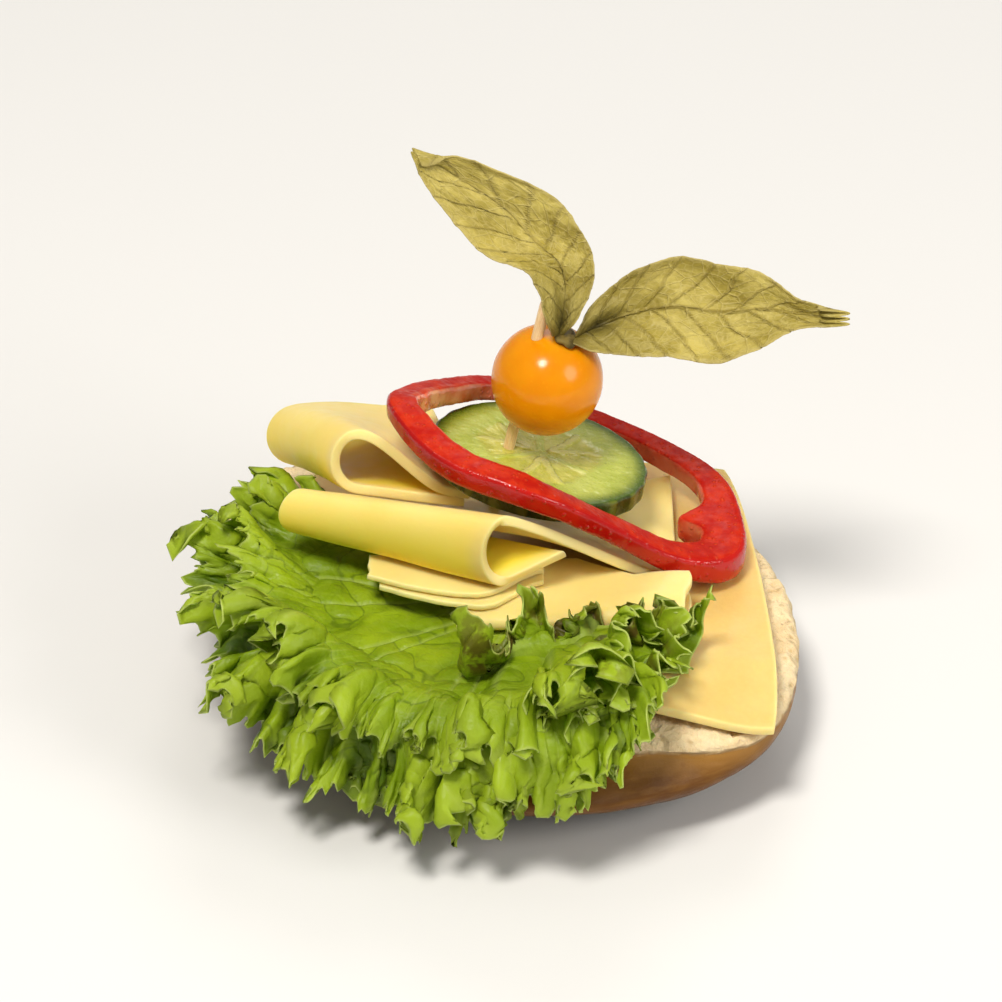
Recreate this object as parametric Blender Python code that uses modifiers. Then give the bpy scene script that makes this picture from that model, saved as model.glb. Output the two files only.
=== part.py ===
# Open sandwich: half an oval roll with lettuce, folded cheese slices, a ring of
# sweet pepper, a slice of cucumber and a winter cherry with its two husk leaves,
# all held by a wooden pick. Metres, +Z up; the origin is the middle of the flat
# underside of the roll, and the front of the sandwich faces -Y.
import math

import bpy
import bmesh
import numpy as np
from mathutils import Matrix, Vector

MM = 0.001
GAP = 0.3                     # clear gap between neighbouring pieces, mm

# ------------------------------------------------------------ driving sizes, mm
ROLL_LONG = 58.2              # half length of the oval cut face
ROLL_WIDE = 47.0              # half width of the oval cut face
ROLL_TURN = math.radians(-44.0)
ROLL_MID = (0.0, 4.0)         # centre of the cut face in plan
ROLL_RIM = 18.5               # height of the cut edge
ROLL_DOME = 22.0              # height of the cut face in the middle
ROLL_FOOT = 0.57              # flat underside as a share of the oval
ROLL_CUT = 42.3               # the cut edge at the front, this far before the middle
ROLL_SEGS = (38, 18)

CHEESE_T = 1.8                # thickness of a cheese slice
SLIP_T = 1.0                  # thickness of the two short layers
SLICE_BACK = 37.5             # back right corner of the flat slice, Y
SLICE_FRONT = -35.5           # front right corner of the flat slice, Y
SLICE_RIGHT = (40.5, 46.9)    # X of the right edge, back and front
SLICE_LEFT = (-36.0, -25.0)   # X of the left edge, back and front
SLICE_Z = 23.55               # middle of its thickness

LEAF_T = 0.7                  # thickness of the lettuce
LEAF_ROOT = (2.0, -6.0)       # where the leaves start, under the cheese
LEAF_Z = 25.3

PICK_R = 1.0
PICK_LOW = (-6.1, 16.35, 12.0)
PICK_TOP = (6.9, 13.0, 75.4)

BERRY_R = 9.8
BERRY_MID = (7.1, 14.6, 58.3)
BERRY_LEAN = (0.33, -0.13, 0.94)   # from its middle to the husk end

CUKE_R = 19.1
CUKE_T = 3.6
CUKE_MID = (6.0, 14.4, 43.1)  # middle of the upper face
CUKE_UP = (0.191, 0.137, 0.972)

HUSK_T = 0.6


# ------------------------------------------------------------------ small maths
def smooth(t):
    t = min(max(t, 0.0), 1.0)
    return t * t * (3.0 - 2.0 * t)


def mix(a, b, t):
    return a + (b - a) * t


def bump(x, mid, width):
    return math.exp(-((x - mid) / width) ** 2)


def spline(points, t, closed=False):
    """Point on a smooth curve through a few control points, t from 0 to 1."""
    n = len(points)
    spans = n if closed else n - 1
    f = min(max(t, 0.0), 1.0) * spans
    i = min(int(f), spans - 1)
    f -= i

    def at(k):
        if closed:
            return np.array(points[k % n], float)
        if k < 0:
            return 2 * np.array(points[0], float) - np.array(points[1], float)
        if k >= n:
            return 2 * np.array(points[-1], float) - np.array(points[-2], float)
        return np.array(points[k], float)

    a, b, c, d = at(i - 1), at(i), at(i + 1), at(i + 2)
    return 0.5 * ((2 * b) + (c - a) * f + (2 * a - 5 * b + 4 * c - d) * f ** 2
                  + (3 * b - a - 3 * c + d) * f ** 3)


# ------------------------------------------------------------------ scene set-up
for old in list(bpy.data.objects):
    bpy.data.objects.remove(old, do_unlink=True)

parts = bpy.data.collections.new("open_sandwich")
cutters = bpy.data.collections.new("open_sandwich_cutters")
bpy.context.scene.collection.children.link(parts)
bpy.context.scene.collection.children.link(cutters)


def material(name, colour, roughness):
    mat = bpy.data.materials.new(name)
    mat.use_nodes = True
    bsdf = mat.node_tree.nodes["Principled BSDF"]
    bsdf.inputs["Base Color"].default_value = (*colour, 1.0)
    bsdf.inputs["Roughness"].default_value = roughness
    bsdf.inputs["Metallic"].default_value = 0.0
    mat.diffuse_color = (*colour, 1.0)
    return mat


MATS = {
    "bread_roll": material("bread_crust_and_crumb", (0.62, 0.33, 0.12), 0.55),
    "lettuce_left": material("lettuce_green_left", (0.22, 0.42, 0.03), 0.42),
    "lettuce_right": material("lettuce_green_right", (0.22, 0.42, 0.03), 0.42),
    "cheese_base": material("cheese_base_yellow", (0.86, 0.70, 0.28), 0.40),
    "cheese_back": material("cheese_back_yellow", (0.86, 0.70, 0.28), 0.40),
    "cheese_mid": material("cheese_mid_yellow", (0.86, 0.70, 0.28), 0.40),
    "cheese_front": material("cheese_front_yellow", (0.86, 0.70, 0.28), 0.40),
    "cheese_slip_top": material("cheese_slip_top_yellow", (0.86, 0.70, 0.28), 0.40),
    "cheese_slip_low": material("cheese_slip_low_yellow", (0.86, 0.70, 0.28), 0.40),
    "pepper_ring": material("pepper_red", (0.62, 0.02, 0.01), 0.22),
    "cucumber_slice": material("cucumber_green", (0.52, 0.60, 0.24), 0.30),
    "winter_cherry": material("winter_cherry_orange", (0.82, 0.36, 0.02), 0.20),
    "husk_left": material("husk_left_olive", (0.36, 0.30, 0.11), 0.60),
    "husk_right": material("husk_right_olive", (0.36, 0.30, 0.11), 0.60),
    "calyx": material("calyx_brown", (0.20, 0.17, 0.06), 0.60),
    "pick": material("pick_wood", (0.72, 0.50, 0.27), 0.55),
}


def place(name, bm, round_shaded=True):
    mesh = bpy.data.meshes.new(name)
    bmesh.ops.recalc_face_normals(bm, faces=bm.faces[:])
    bm.to_mesh(mesh)
    bm.free()
    obj = bpy.data.objects.new(name, mesh)
    mesh.materials.append(MATS[name])
    for poly in mesh.polygons:
        poly.use_smooth = round_shaded
    parts.objects.link(obj)
    return obj


def sheet(name, nu, nv, form, thickness):
    """A flat grid laid out by form(u, v) in mm and given its thickness."""
    bm = bmesh.new()
    bmesh.ops.create_grid(bm, x_segments=nu, y_segments=nv, size=0.5)
    for vert in bm.verts:
        x, y, z = form(vert.co.x + 0.5, vert.co.y + 0.5)
        vert.co = (x * MM, y * MM, z * MM)
    obj = place(name, bm)
    solid = obj.modifiers.new("thickness", "SOLIDIFY")
    solid.thickness = thickness * MM
    solid.offset = 0.0
    return obj


# -------------------------------------------------------------------- bread roll
def oval(theta, share=1.0):
    """Distance from the middle of the oval cut face to its edge, mm."""
    a = theta - ROLL_TURN
    r = 1.0 / math.sqrt((math.cos(a) / ROLL_LONG) ** 2 + (math.sin(a) / ROLL_WIDE) ** 2)
    r *= 1.0 + 0.006 * math.sin(5 * theta + 0.6) + 0.004 * math.sin(9 * theta + 2.0)
    r *= 1.0 - 0.040 * bump(theta, math.radians(-4), 0.42) - 0.045 * bump(theta, math.radians(-68), 0.5)
    return r * share


def rim(theta):
    """Distance from the middle to the cut edge, which runs straight along the front."""
    front = max(-math.sin(theta), 0.0)
    return (oval(theta) ** -14.0 + (front / ROLL_CUT) ** 14.0) ** (-1.0 / 14.0)


def roll_face(x, y):
    """Height of the cut face of the roll above its underside, mm."""
    dx, dy = x - ROLL_MID[0], y - ROLL_MID[1]
    theta = math.atan2(dy, dx)
    s = math.hypot(dx, dy) / rim(theta)
    dip = 1.6 * bump(theta, math.radians(-36), 0.35) - 1.2 * bump(theta, math.radians(-80), 0.38)
    z = mix(ROLL_DOME, ROLL_RIM - dip, min(s, 1.0) ** 2.6)
    return z + 0.22 * math.sin(x * 0.41 + 1.0) * math.sin(y * 0.37)


def roll_point(theta, t):
    """t 0 = middle of the underside, 1 = middle of the cut face."""
    full = oval(theta)
    if t < 0.2:
        share, z, up = ROLL_FOOT * t / 0.2, 0.0, 0.0
    elif t < 0.62:
        k = (t - 0.2) / 0.42
        ang = k * math.pi / 2
        out = math.sin(ang)
        share = mix(ROLL_FOOT, 1.0, out)
        up = 1.0 - (1.0 - out ** 1.15) ** 0.5
        share += 0.035 * bump(up, 0.6, 0.2) * bump(theta, math.radians(-85), 0.4)
        share = mix(share, rim(theta) / full, smooth((up - 0.55) / 0.45))
        z = None
    else:
        full = rim(theta)
        share, up, z = 0.985 * (1.0 - (t - 0.62) / 0.38), 1.0, None
    k = smooth(up)
    cx, cy = ROLL_MID[0] * k, ROLL_MID[1] * k
    x = cx + full * share * math.cos(theta)
    y = cy + full * share * math.sin(theta)
    if z is None:
        if up < 1.0:
            rim_x = ROLL_MID[0] + rim(theta) * 0.985 * math.cos(theta)
            rim_y = ROLL_MID[1] + rim(theta) * 0.985 * math.sin(theta)
            z = (roll_face(rim_x, rim_y) - 1.1) * up
        else:
            z = roll_face(x, y)
    return x, y, z


def build_roll():
    bm = bmesh.new()
    bmesh.ops.create_uvsphere(bm, u_segments=ROLL_SEGS[0], v_segments=ROLL_SEGS[1], radius=1.0)
    for vert in bm.verts:
        x, y, z = vert.co
        theta = math.atan2(y, x)
        t = 0.5 + math.asin(max(-1.0, min(1.0, z))) / math.pi
        px, py, pz = roll_point(theta, t)
        vert.co = (px * MM, py * MM, pz * MM)
    return place("bread_roll", bm)


# --------------------------------------------------------------- flat base slice
def base_slice(u, v):
    """u runs left to right, v front to back."""
    u2, v2 = 2 * u - 1, 2 * v - 1
    # rounded corners: the square is drawn in a little where both are large
    pull = 1.0 - 0.035 * (abs(u2) * abs(v2)) ** 6
    u2, v2 = u2 * pull, v2 * pull
    a, b = (u2 + 1) / 2, (v2 + 1) / 2
    x = mix(mix(SLICE_LEFT[1], SLICE_LEFT[0], b), mix(SLICE_RIGHT[1], SLICE_RIGHT[0], b), a)
    x += 1.2 * math.sin(b * math.pi) * a
    y = mix(SLICE_FRONT, SLICE_BACK, b) + 5.0 * (1 - a) * b + 9.0 * (1 - a) * (1 - b)
    fall = smooth((-20.0 - y) / 16.0) * smooth((x - 14.0) / 34.0)
    z = SLICE_Z - 5.2 * fall - 0.8 * smooth((math.hypot(x, y - 4) - 50) / 10.0) * (1 - fall)
    return x, y, z


# ------------------------------------------------------------ folded cheese
def fold(t, lower, rise, depth, height, upper, rest, slope, pinch, floor=-99.0):
    """Section of a slice folded over: lower layer, bend, upper layer (x, z)."""
    if t < 0.32:
        x = lower * (1 - t / 0.32)
        return x, rise * x
    if t < 0.60:
        a = (t - 0.32) / 0.28 * math.pi
        return -depth * math.sin(a), height * (0.5 - 0.5 * math.cos(a))
    x = upper * (t - 0.60) / 0.40
    z = rest + slope * x + (height - rest) * (1.0 - smooth(x / pinch))
    return x, max(z, floor)


def lay(origin, heading, section):
    """Stand a section up: x along the heading, z up."""
    c, s = math.cos(heading), math.sin(heading)
    x, z = section
    return np.array([origin[0] + c * x, origin[1] + s * x, origin[2] + z])


def cheese_back(u, v):
    near = lay((-25.2, 4.0, 42.4), 0.0, fold(u, 18.0, -0.16, 4.3, 11.7, 19.0, 1.9, -0.16, 15.5))
    far = lay((-37.6, 32.0, 29.4), 0.12, fold(u, 22.0, 0.30, 4.4, 11.0, 24.5, 6.9, 0.08, 27.0))
    p = near + (far - near) * v
    p[2] += 0.5 * math.sin(v * math.pi)
    return p


def cheese_mid(u, v):
    near = lay((0.2, -11.6, 33.9), 0.30, fold(u, 10.5, 0.36, 4.1, 13.2, 31.0, 13.9, -0.70, 8.0, -7.2))
    far = lay((-36.0, 4.8, 33.8), 0.36, fold(u, 13.0, -0.10, 3.6, 7.7, 70.0, 2.3, -0.17, 12.0, -6.6))
    p = near + (far - near) * v
    return p


def cheese_front(u, v):
    k = smooth((v - 0.42) / 0.53)
    high = mix(2.0, 5.0, k)
    p = lay((mix(-8.0, 31.4, v), mix(-12.2, -12.6, v), 26.9), math.pi / 2,
            fold(u, 8.5, 0.0, mix(3.4, 3.9, k), high,
                 max(6.0, 13.4 - 0.74 * max(0.0, mix(-8.0, 31.4, v) - 12.0)), high, 0.02, 3.0))
    p[0] += 0.7 * math.sin(u * 9.0)
    return p


def slip(u, v, tip, nose, z):
    """Short layer that tapers to the left; u left to right, v front to back."""
    x = mix(tip, 6.5, u)
    front = nose - 7.0 * math.sin(min(u * 1.35, 1.0) * math.pi / 2) + 2.0 * u
    front += 6.5 * smooth((u - 0.58) / 0.42) ** 1.4        # the cut curves back to a thin right end
    y = mix(front, -1.5, v)
    return x, y, z - 0.2 * (1 - v) * u * (1 - u)


def cheese_slip_top(u, v):
    return slip(u, v, -23.8, -7.6, 32.0)


def cheese_slip_low(u, v):
    return slip(u, v, -22.0, -9.0, 30.65)


# ------------------------------------------------------------------------ lettuce
def ruffle(s, w, waves, seed):
    """Out-of-plane and sideways sway of a frilled leaf edge, in units of 1."""
    phase = 2 * math.pi * (waves * s + 0.22 * math.sin(2 * math.pi * 1.7 * s + seed))
    up = math.sin(phase) + 0.35 * math.sin(2.3 * phase + seed)
    side = math.cos(phase)
    k = w ** 2.2
    return up * k, side * k


def leaf_path(root, angle, s, bend_at, droop, rise):
    """Point a distance s along a rib: level, then over a bend, then down."""
    r, z, step = 0.0, 0.0, 1.0
    done = 0.0
    while done < s - 1e-9:
        d = min(step, s - done)
        k = smooth((done - bend_at + 6.0) / 14.0)
        a = mix(rise, -droop, k)
        r += d * math.cos(a)
        z += d * math.sin(a)
        done += d
    return root[0] + r * math.cos(angle), root[1] + r * math.sin(angle), z


def lettuce_left(u, v):
    angle = math.radians(mix(140.0, 269.0, u))
    reach = spline([(47,), (62.5,), (60.5,), (59,), (59,), (58,), (57,), (56,)], u)[0]
    reach += 1.6 * math.sin(u * 61.0) + 1.0 * math.sin(u * 97.0 + 1.0)
    bend_at = spline([(62,), (60,), (54,), (47,), (41,), (38,), (37,), (37,)], u)[0]
    droop = math.radians(spline([(10,), (12,), (18,), (42,), (62,), (70,), (72,), (72,)], u)[0])
    w = mix(0.10, 1.0, v)
    x, y, z = leaf_path(LEAF_ROOT, angle, reach * w, bend_at, droop, 0.02)
    up, side = ruffle(u, w, 13.0, 0.7)
    out = smooth((w - 0.4) / 0.6)
    z += LEAF_Z + out * 0.9 + 2.7 * up * out + 1.0 * out * math.sin(u * 17.0)
    across = (-math.sin(angle), math.cos(angle))
    x += across[0] * 1.5 * side * out
    y += across[1] * 1.5 * side * out
    push = droop * 0.6 * (0.6 + 0.5 * up) * out * 2.4
    x += math.cos(angle) * push
    y += math.sin(angle) * push
    return keep_off(x, y, z)


def lettuce_right(u, v):
    angle = math.radians(mix(266.0, 338.0, u))
    reach = spline([(43,), (44,), (40,), (31,), (27,), (25,), (23,)], u)[0]
    reach += 1.0 * math.sin(u * 41.0)
    bend_at = spline([(27,), (28,), (28,), (26,), (25,), (24,), (22,)], u)[0]
    droop = math.radians(spline([(78,), (80,), (74,), (38,), (15,), (5,), (-5,)], u)[0])
    root = (6.0 + 6.5 * u, -17.2)
    w = mix(0.05, 1.0, v)
    x, y, z = leaf_path(root, angle, reach * w, bend_at, droop, 0.10)
    fall = mix(0.10, -droop, smooth((reach * w - bend_at + 6.0) / 14.0))
    sway = 1.7 * math.sin(2 * math.pi * (6.0 * u + 0.05 * math.sin(11.0 * u))) * w ** 2.2
    x -= math.sin(fall) * math.cos(angle) * sway
    y -= math.sin(fall) * math.sin(angle) * sway
    return x, y, z + math.cos(fall) * sway + 29.6


def keep_off(x, y, z, lift=0.0):
    """Hold the leaf clear of the roll and of the flat slice under it."""
    dx, dy = x - ROLL_MID[0], y - ROLL_MID[1]
    theta = math.atan2(dy, dx)
    r = math.hypot(dx, dy)
    edge = oval(theta) + 1.4 + lift * 0.5
    top = SLICE_Z + 1.75 + lift
    if r < edge and z < top:
        # nearer to the top or to the side: leave by the shorter way
        if edge - r < (top - z) * 1.2:
            x = ROLL_MID[0] + dx * edge / r
            y = ROLL_MID[1] + dy * edge / r
        else:
            z = top
    return x, y, z


# -------------------------------------------------------------------- pepper ring
# heading round the ring: x, y of the middle of the wall, top of the wall,
# height of the wall, width of the wall
RIB_AT, RIB_REACH = 0.503, 4.2      # stub of an inner rib, along the ring and inward
RING = [(-17.6, 8.0, 58.0, 4.2, 5.4), (-9.6, -2.6, 55.2, 4.6, 5.4), (3.2, -8.4, 53.0, 4.6, 5.4),
        (11.6, -7.4, 48.0, 4.6, 5.4), (20.0, -4.6, 41.2, 4.6, 5.6), (29.5, -2.0, 34.4, 5.2, 6.2),
        (36.8, 2.6, 31.6, 6.2, 8.2), (38.0, 11.0, 31.9, 5.4, 7.4), (36.0, 22.0, 32.6, 4.0, 5.4),
        (27.0, 31.0, 33.8, 3.8, 4.6), (13.0, 36.2, 37.6, 3.8, 4.4), (-1.5, 35.4, 44.2, 3.8, 4.4),
        (-10.6, 26.0, 50.2, 4.2, 5.0), (-16.0, 17.5, 54.4, 4.4, 5.6)]


def ring_frame(t):
    p = spline(RING, t % 1.0, True)
    q = spline(RING, (t + 0.004) % 1.0, True) - spline(RING, (t - 0.004) % 1.0, True)
    side = np.array([q[1], -q[0], 0.0])
    side /= np.linalg.norm(side)
    return p, side


def build_ring():
    bm = bmesh.new()
    segs, around = 46, 10
    mesh_ring = bmesh.ops.create_grid(bm, x_segments=segs, y_segments=around, size=0.5)
    for vert in mesh_ring["verts"]:
        t, a = vert.co.x + 0.5, (vert.co.y + 0.5) * 2 * math.pi
        p, side = ring_frame(t)
        wall = p[4]
        cs, sn = math.cos(a), math.sin(a)
        # squarish section: flat cut faces above and below, rounded skin
        w = wall / 2 * math.copysign(abs(cs) ** 0.55, cs)
        h = p[3] / 2 * math.copysign(abs(sn) ** 0.55, sn)
        if cs < 0:
            w -= RIB_REACH * math.exp(-((t - RIB_AT) / 0.017) ** 2) * min(1.0, -2.5 * cs)
        vert.co = ((p[0] + side[0] * w) * MM, (p[1] + side[1] * w) * MM,
                   (p[2] - p[3] / 2 + h) * MM)
    bmesh.ops.remove_doubles(bm, verts=bm.verts[:], dist=1e-6)
    return place("pepper_ring", bm)


# ----------------------------------------------------------------------- cucumber
def build_cucumber():
    bm = bmesh.new()
    bmesh.ops.create_cone(bm, cap_ends=True, segments=40, radius1=CUKE_R * MM,
                          radius2=CUKE_R * MM, depth=CUKE_T * MM)
    obj = place("cucumber_slice", bm, False)
    edge = obj.modifiers.new("edge", "BEVEL")
    edge.width = 0.4 * MM
    edge.segments = 1
    edge.limit_method = "ANGLE"
    edge.angle_limit = math.radians(50)
    up = Vector(CUKE_UP).normalized()
    mid = Vector(CUKE_MID) - up * (CUKE_T / 2)
    turn = Vector((0, 0, 1)).rotation_difference(up).to_matrix().to_4x4()
    obj.data.transform(Matrix.Translation(mid * MM) @ turn)
    return obj


# -------------------------------------------------------------------------- berry
def build_berry():
    bm = bmesh.new()
    bmesh.ops.create_uvsphere(bm, u_segments=24, v_segments=14, radius=1.0)
    lean = Vector(BERRY_LEAN).normalized()
    turn = Vector((0, 0, 1)).rotation_difference(lean)
    for vert in bm.verts:
        d = vert.co.normalized()
        polar = math.acos(max(-1.0, min(1.0, d.z)))
        r = BERRY_R * (1.0 - 0.07 * math.exp(-(polar / 0.22) ** 2)
                       + 0.012 * math.cos(2 * polar))
        p = turn @ (d * r)
        vert.co = (Vector(BERRY_MID) + p) * MM
    return place("winter_cherry", bm)


def build_calyx():
    """Small stub on top of the berry, where both husk leaves start."""
    lean = Vector(BERRY_LEAN).normalized()
    low = Vector(BERRY_MID) + lean * (BERRY_R * 0.95 + GAP)
    bm = bmesh.new()
    turn = Vector((0, 0, 1)).rotation_difference(lean).to_matrix().to_4x4()
    bmesh.ops.create_cone(bm, cap_ends=True, segments=16, radius1=1.7 * MM, radius2=1.1 * MM,
                          depth=0.9 * MM, matrix=Matrix.Translation((low + lean * 0.45) * MM) @ turn)
    return place("calyx", bm)


# --------------------------------------------------------------------- husk leaves
# lower and upper edge of each leaf, from the berry to the tip
HUSK_LEFT_LOW = [(7.9, 11.9, 68.9), (6.7, 9.6, 74.1), (5.1, 10.8, 79.8), (2.5, 12.4, 82.6),
                 (-3.1, 15.0, 82.9), (-8.7, 17.5, 88.2), (-13.5, 19.3, 94.3), (-16.3, 20.4, 100.6)]
HUSK_LEFT_HIGH = [(9.8, 13.0, 68.5), (12.3, 13.0, 71.7), (14.7, 15.8, 76.5), (14.9, 17.6, 81.3),
                  (12.4, 19.0, 86.7), (7.3, 20.0, 92.7), (-4.5, 20.6, 98.5), (-15.8, 20.6, 101.7)]
HUSK_RIGHT_LOW = [(11.4, 11.6, 67.6), (15.8, 9.8, 66.9), (21.9, 8.6, 67.1), (28.4, 7.5, 67.5),
                  (35.9, 6.6, 66.8), (43.7, 6.6, 70.1), (50.1, 7.6, 73.3), (58.7, 8.4, 73.2)]
HUSK_RIGHT_HIGH = [(12.2, 13.4, 68.9), (15.6, 17.0, 73.3), (21.3, 17.6, 78.2), (29.1, 17.0, 81.9),
                   (36.6, 15.5, 81.4), (43.7, 13.5, 80.9), (50.2, 11.0, 77.2), (58.7, 9.4, 75.8)]
HUSK_LEFT_HOLLOW, HUSK_RIGHT_HOLLOW = 1.8, 2.6    # how far the middle lies back


def husk(u, v, low, high, hollow):
    """u from the berry to the tip, v from the lower to the upper edge."""
    p = mix(spline(low, u), spline(high, u), v)
    body = math.sin(u * math.pi)
    back = hollow * 4 * v * (1 - v) * body ** 0.6
    back += (0.35 * math.sin(u * 23.0 + v * 6.0) + 0.3 * math.sin(v * 14.0 + u * 9.0)) * body
    return p[0], p[1] + back, p[2] - 0.7 * back


def husk_left(u, v):
    return husk(u, v, HUSK_LEFT_LOW, HUSK_LEFT_HIGH, HUSK_LEFT_HOLLOW)


def husk_right(u, v):
    return husk(u, v, HUSK_RIGHT_LOW, HUSK_RIGHT_HIGH, HUSK_RIGHT_HOLLOW)


# --------------------------------------------------------------------------- pick
def pick_solid(bm, radius, low, top, segments):
    low, top = Vector(low), Vector(top)
    axis = top - low
    length = axis.length
    turn = Vector((0, 0, 1)).rotation_difference(axis.normalized()).to_matrix().to_4x4()
    bmesh.ops.create_cone(bm, cap_ends=True, segments=segments, radius1=radius * MM,
                          radius2=radius * MM, depth=length * MM,
                          matrix=Matrix.Translation((low + top) * 0.5 * MM) @ turn)


def build_pick():
    bm = bmesh.new()
    pick_solid(bm, PICK_R, PICK_LOW, PICK_TOP, 20)
    return place("pick", bm)


def pick_hole(targets):
    """The way of the pick, with its clear gap, is cut through what it passes."""
    axis = (Vector(PICK_TOP) - Vector(PICK_LOW)).normalized()
    bm = bmesh.new()
    pick_solid(bm, PICK_R + GAP, Vector(PICK_LOW) - axis * GAP, Vector(PICK_TOP) + axis * 2.0, 20)
    mesh = bpy.data.meshes.new("pick_way")
    bm.to_mesh(mesh)
    bm.free()
    cut = bpy.data.objects.new("pick_way", mesh)
    cutters.objects.link(cut)
    cut.hide_render = True
    cut.display_type = "WIRE"
    for obj in targets:
        mod = obj.modifiers.new("pick_way", "BOOLEAN")
        mod.operation = "DIFFERENCE"
        mod.solver = "EXACT"
        mod.object = cut


# -------------------------------------------------------------------------- build
roll = build_roll()
base = sheet("cheese_base", 10, 10, base_slice, CHEESE_T)
back = sheet("cheese_back", 30, 5, cheese_back, CHEESE_T)
mid = sheet("cheese_mid", 30, 6, cheese_mid, CHEESE_T)
front = sheet("cheese_front", 20, 8, cheese_front, CHEESE_T)
sheet("cheese_slip_top", 9, 3, cheese_slip_top, SLIP_T)
sheet("cheese_slip_low", 9, 3, cheese_slip_low, SLIP_T)
leaf_left = sheet("lettuce_left", 66, 6, lettuce_left, LEAF_T)
leaf_right = sheet("lettuce_right", 40, 6, lettuce_right, LEAF_T)
ring = build_ring()
cuke = build_cucumber()
berry = build_berry()
build_calyx()
sheet("husk_left", 16, 5, husk_left, HUSK_T)
sheet("husk_right", 16, 5, husk_right, HUSK_T)
build_pick()
pick_hole([roll, base, back, mid, cuke, berry])
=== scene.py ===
# Open sandwich, visual model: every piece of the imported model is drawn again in
# fine detail, in millimetres, from the same named sizes, in the same frame.
import math

import bpy
import bmesh
import numpy as np
from mathutils import Matrix, Vector


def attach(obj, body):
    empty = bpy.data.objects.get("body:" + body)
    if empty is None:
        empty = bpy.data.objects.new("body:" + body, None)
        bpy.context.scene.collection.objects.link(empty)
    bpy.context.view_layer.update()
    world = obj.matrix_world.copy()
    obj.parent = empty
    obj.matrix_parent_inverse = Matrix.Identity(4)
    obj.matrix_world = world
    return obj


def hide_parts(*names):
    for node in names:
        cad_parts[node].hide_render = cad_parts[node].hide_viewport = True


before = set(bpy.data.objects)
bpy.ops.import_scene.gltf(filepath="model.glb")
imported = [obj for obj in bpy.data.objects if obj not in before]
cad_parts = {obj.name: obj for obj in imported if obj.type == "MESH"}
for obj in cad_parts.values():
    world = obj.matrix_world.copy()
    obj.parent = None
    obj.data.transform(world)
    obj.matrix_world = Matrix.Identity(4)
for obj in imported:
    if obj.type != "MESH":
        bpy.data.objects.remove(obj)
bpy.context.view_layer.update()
MM = 0.001

# ------------------------------------------------------------ driving sizes, mm
ROLL_LONG, ROLL_WIDE, ROLL_TURN = 58.2, 47.0, math.radians(-44.0)
ROLL_MID = (0.0, 4.0)
ROLL_RIM, ROLL_DOME, ROLL_FOOT, ROLL_CUT = 18.5, 22.0, 0.57, 42.3
CHEESE_T, SLIP_T = 1.8, 1.0
SLICE_BACK, SLICE_FRONT = 37.5, -35.5
SLICE_RIGHT, SLICE_LEFT, SLICE_Z = (40.5, 46.9), (-36.0, -25.0), 23.55
LEAF_ROOT, LEAF_Z = (2.0, -6.0), 25.3
PICK_R, PICK_LOW, PICK_TOP = 1.0, (-6.1, 16.35, 12.0), (6.9, 13.0, 75.4)
BERRY_R, BERRY_MID, BERRY_LEAN = 9.8, (7.1, 14.6, 58.3), (0.33, -0.13, 0.94)
CUKE_R, CUKE_T, CUKE_MID, CUKE_UP = 19.1, 3.6, (6.0, 14.4, 43.1), (0.191, 0.137, 0.972)


# ------------------------------------------------------------------- small maths
def smooth(t):
    t = np.clip(t, 0.0, 1.0)
    return t * t * (3.0 - 2.0 * t)


def mix(a, b, t):
    return a + (b - a) * t


def bump_at(x, mid, width):
    return np.exp(-((x - mid) / width) ** 2)


def spline(points, t, closed=False):
    """Points on a smooth curve through a few control points, t an array 0..1."""
    pts = np.array(points, float)
    if pts.ndim == 1:
        pts = pts[:, None]
    n = len(pts)
    spans = n if closed else n - 1
    if not closed:
        pts = np.vstack([2 * pts[0] - pts[1], pts, 2 * pts[-1] - pts[-2]])
    t = np.asarray(t, float)
    f = (t % 1.0 if closed else np.clip(t, 0, 1)) * spans
    i = np.minimum(f.astype(int), spans - 1)
    f = (f - i)[..., None]
    if closed:
        a, b, c, d = (pts[(i + k) % n] for k in (-1, 0, 1, 2))
    else:
        a, b, c, d = (pts[i + k] for k in (0, 1, 2, 3))
    return 0.5 * (2 * b + (c - a) * f + (2 * a - 5 * b + 4 * c - d) * f ** 2
                  + (3 * b - a - 3 * c + d) * f ** 3)


def noise(x, y=0.0, z=0.0, seed=0):
    """Smooth gradient noise, about -1 to 1."""
    x, y, z = np.broadcast_arrays(np.asarray(x, float), np.asarray(y, float), np.asarray(z, float))
    ix, iy, iz = (np.floor(q).astype(np.int64) for q in (x, y, z))
    fx, fy, fz = x - ix, y - iy, z - iz
    ux, uy, uz = (q * q * q * (q * (q * 6 - 15) + 10) for q in (fx, fy, fz))
    total = np.zeros(x.shape)
    for dx in (0, 1):
        for dy in (0, 1):
            for dz in (0, 1):
                h = ((ix + dx) * 374761393 + (iy + dy) * 668265263 + (iz + dz) * 1274126177
                     + seed * 974634777) & 0xFFFFFFFF
                h = ((h ^ (h >> 15)) * 2246822519) & 0xFFFFFFFF
                h = ((h ^ (h >> 13)) * 3266489917) & 0xFFFFFFFF
                h = h ^ (h >> 16)
                gx = (h & 1023) / 511.5 - 1
                gy = ((h >> 10) & 1023) / 511.5 - 1
                gz = ((h >> 20) & 1023) / 511.5 - 1
                w = ((ux if dx else 1 - ux) * (uy if dy else 1 - uy) * (uz if dz else 1 - uz))
                total += w * (gx * (fx - dx) + gy * (fy - dy) + gz * (fz - dz))
    return total * 1.3


def fbm(x, y=0.0, z=0.0, seed=0, octaves=4, gain=0.5):
    total, amp, k = 0.0, 1.0, 1.0
    for o in range(octaves):
        total = total + amp * noise(np.asarray(x) * k, np.asarray(y) * k, np.asarray(z) * k, seed + o)
        amp *= gain
        k *= 2.03
    return total


def unit(v):
    return v / np.maximum(np.linalg.norm(v, axis=-1, keepdims=True), 1e-12)


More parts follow.
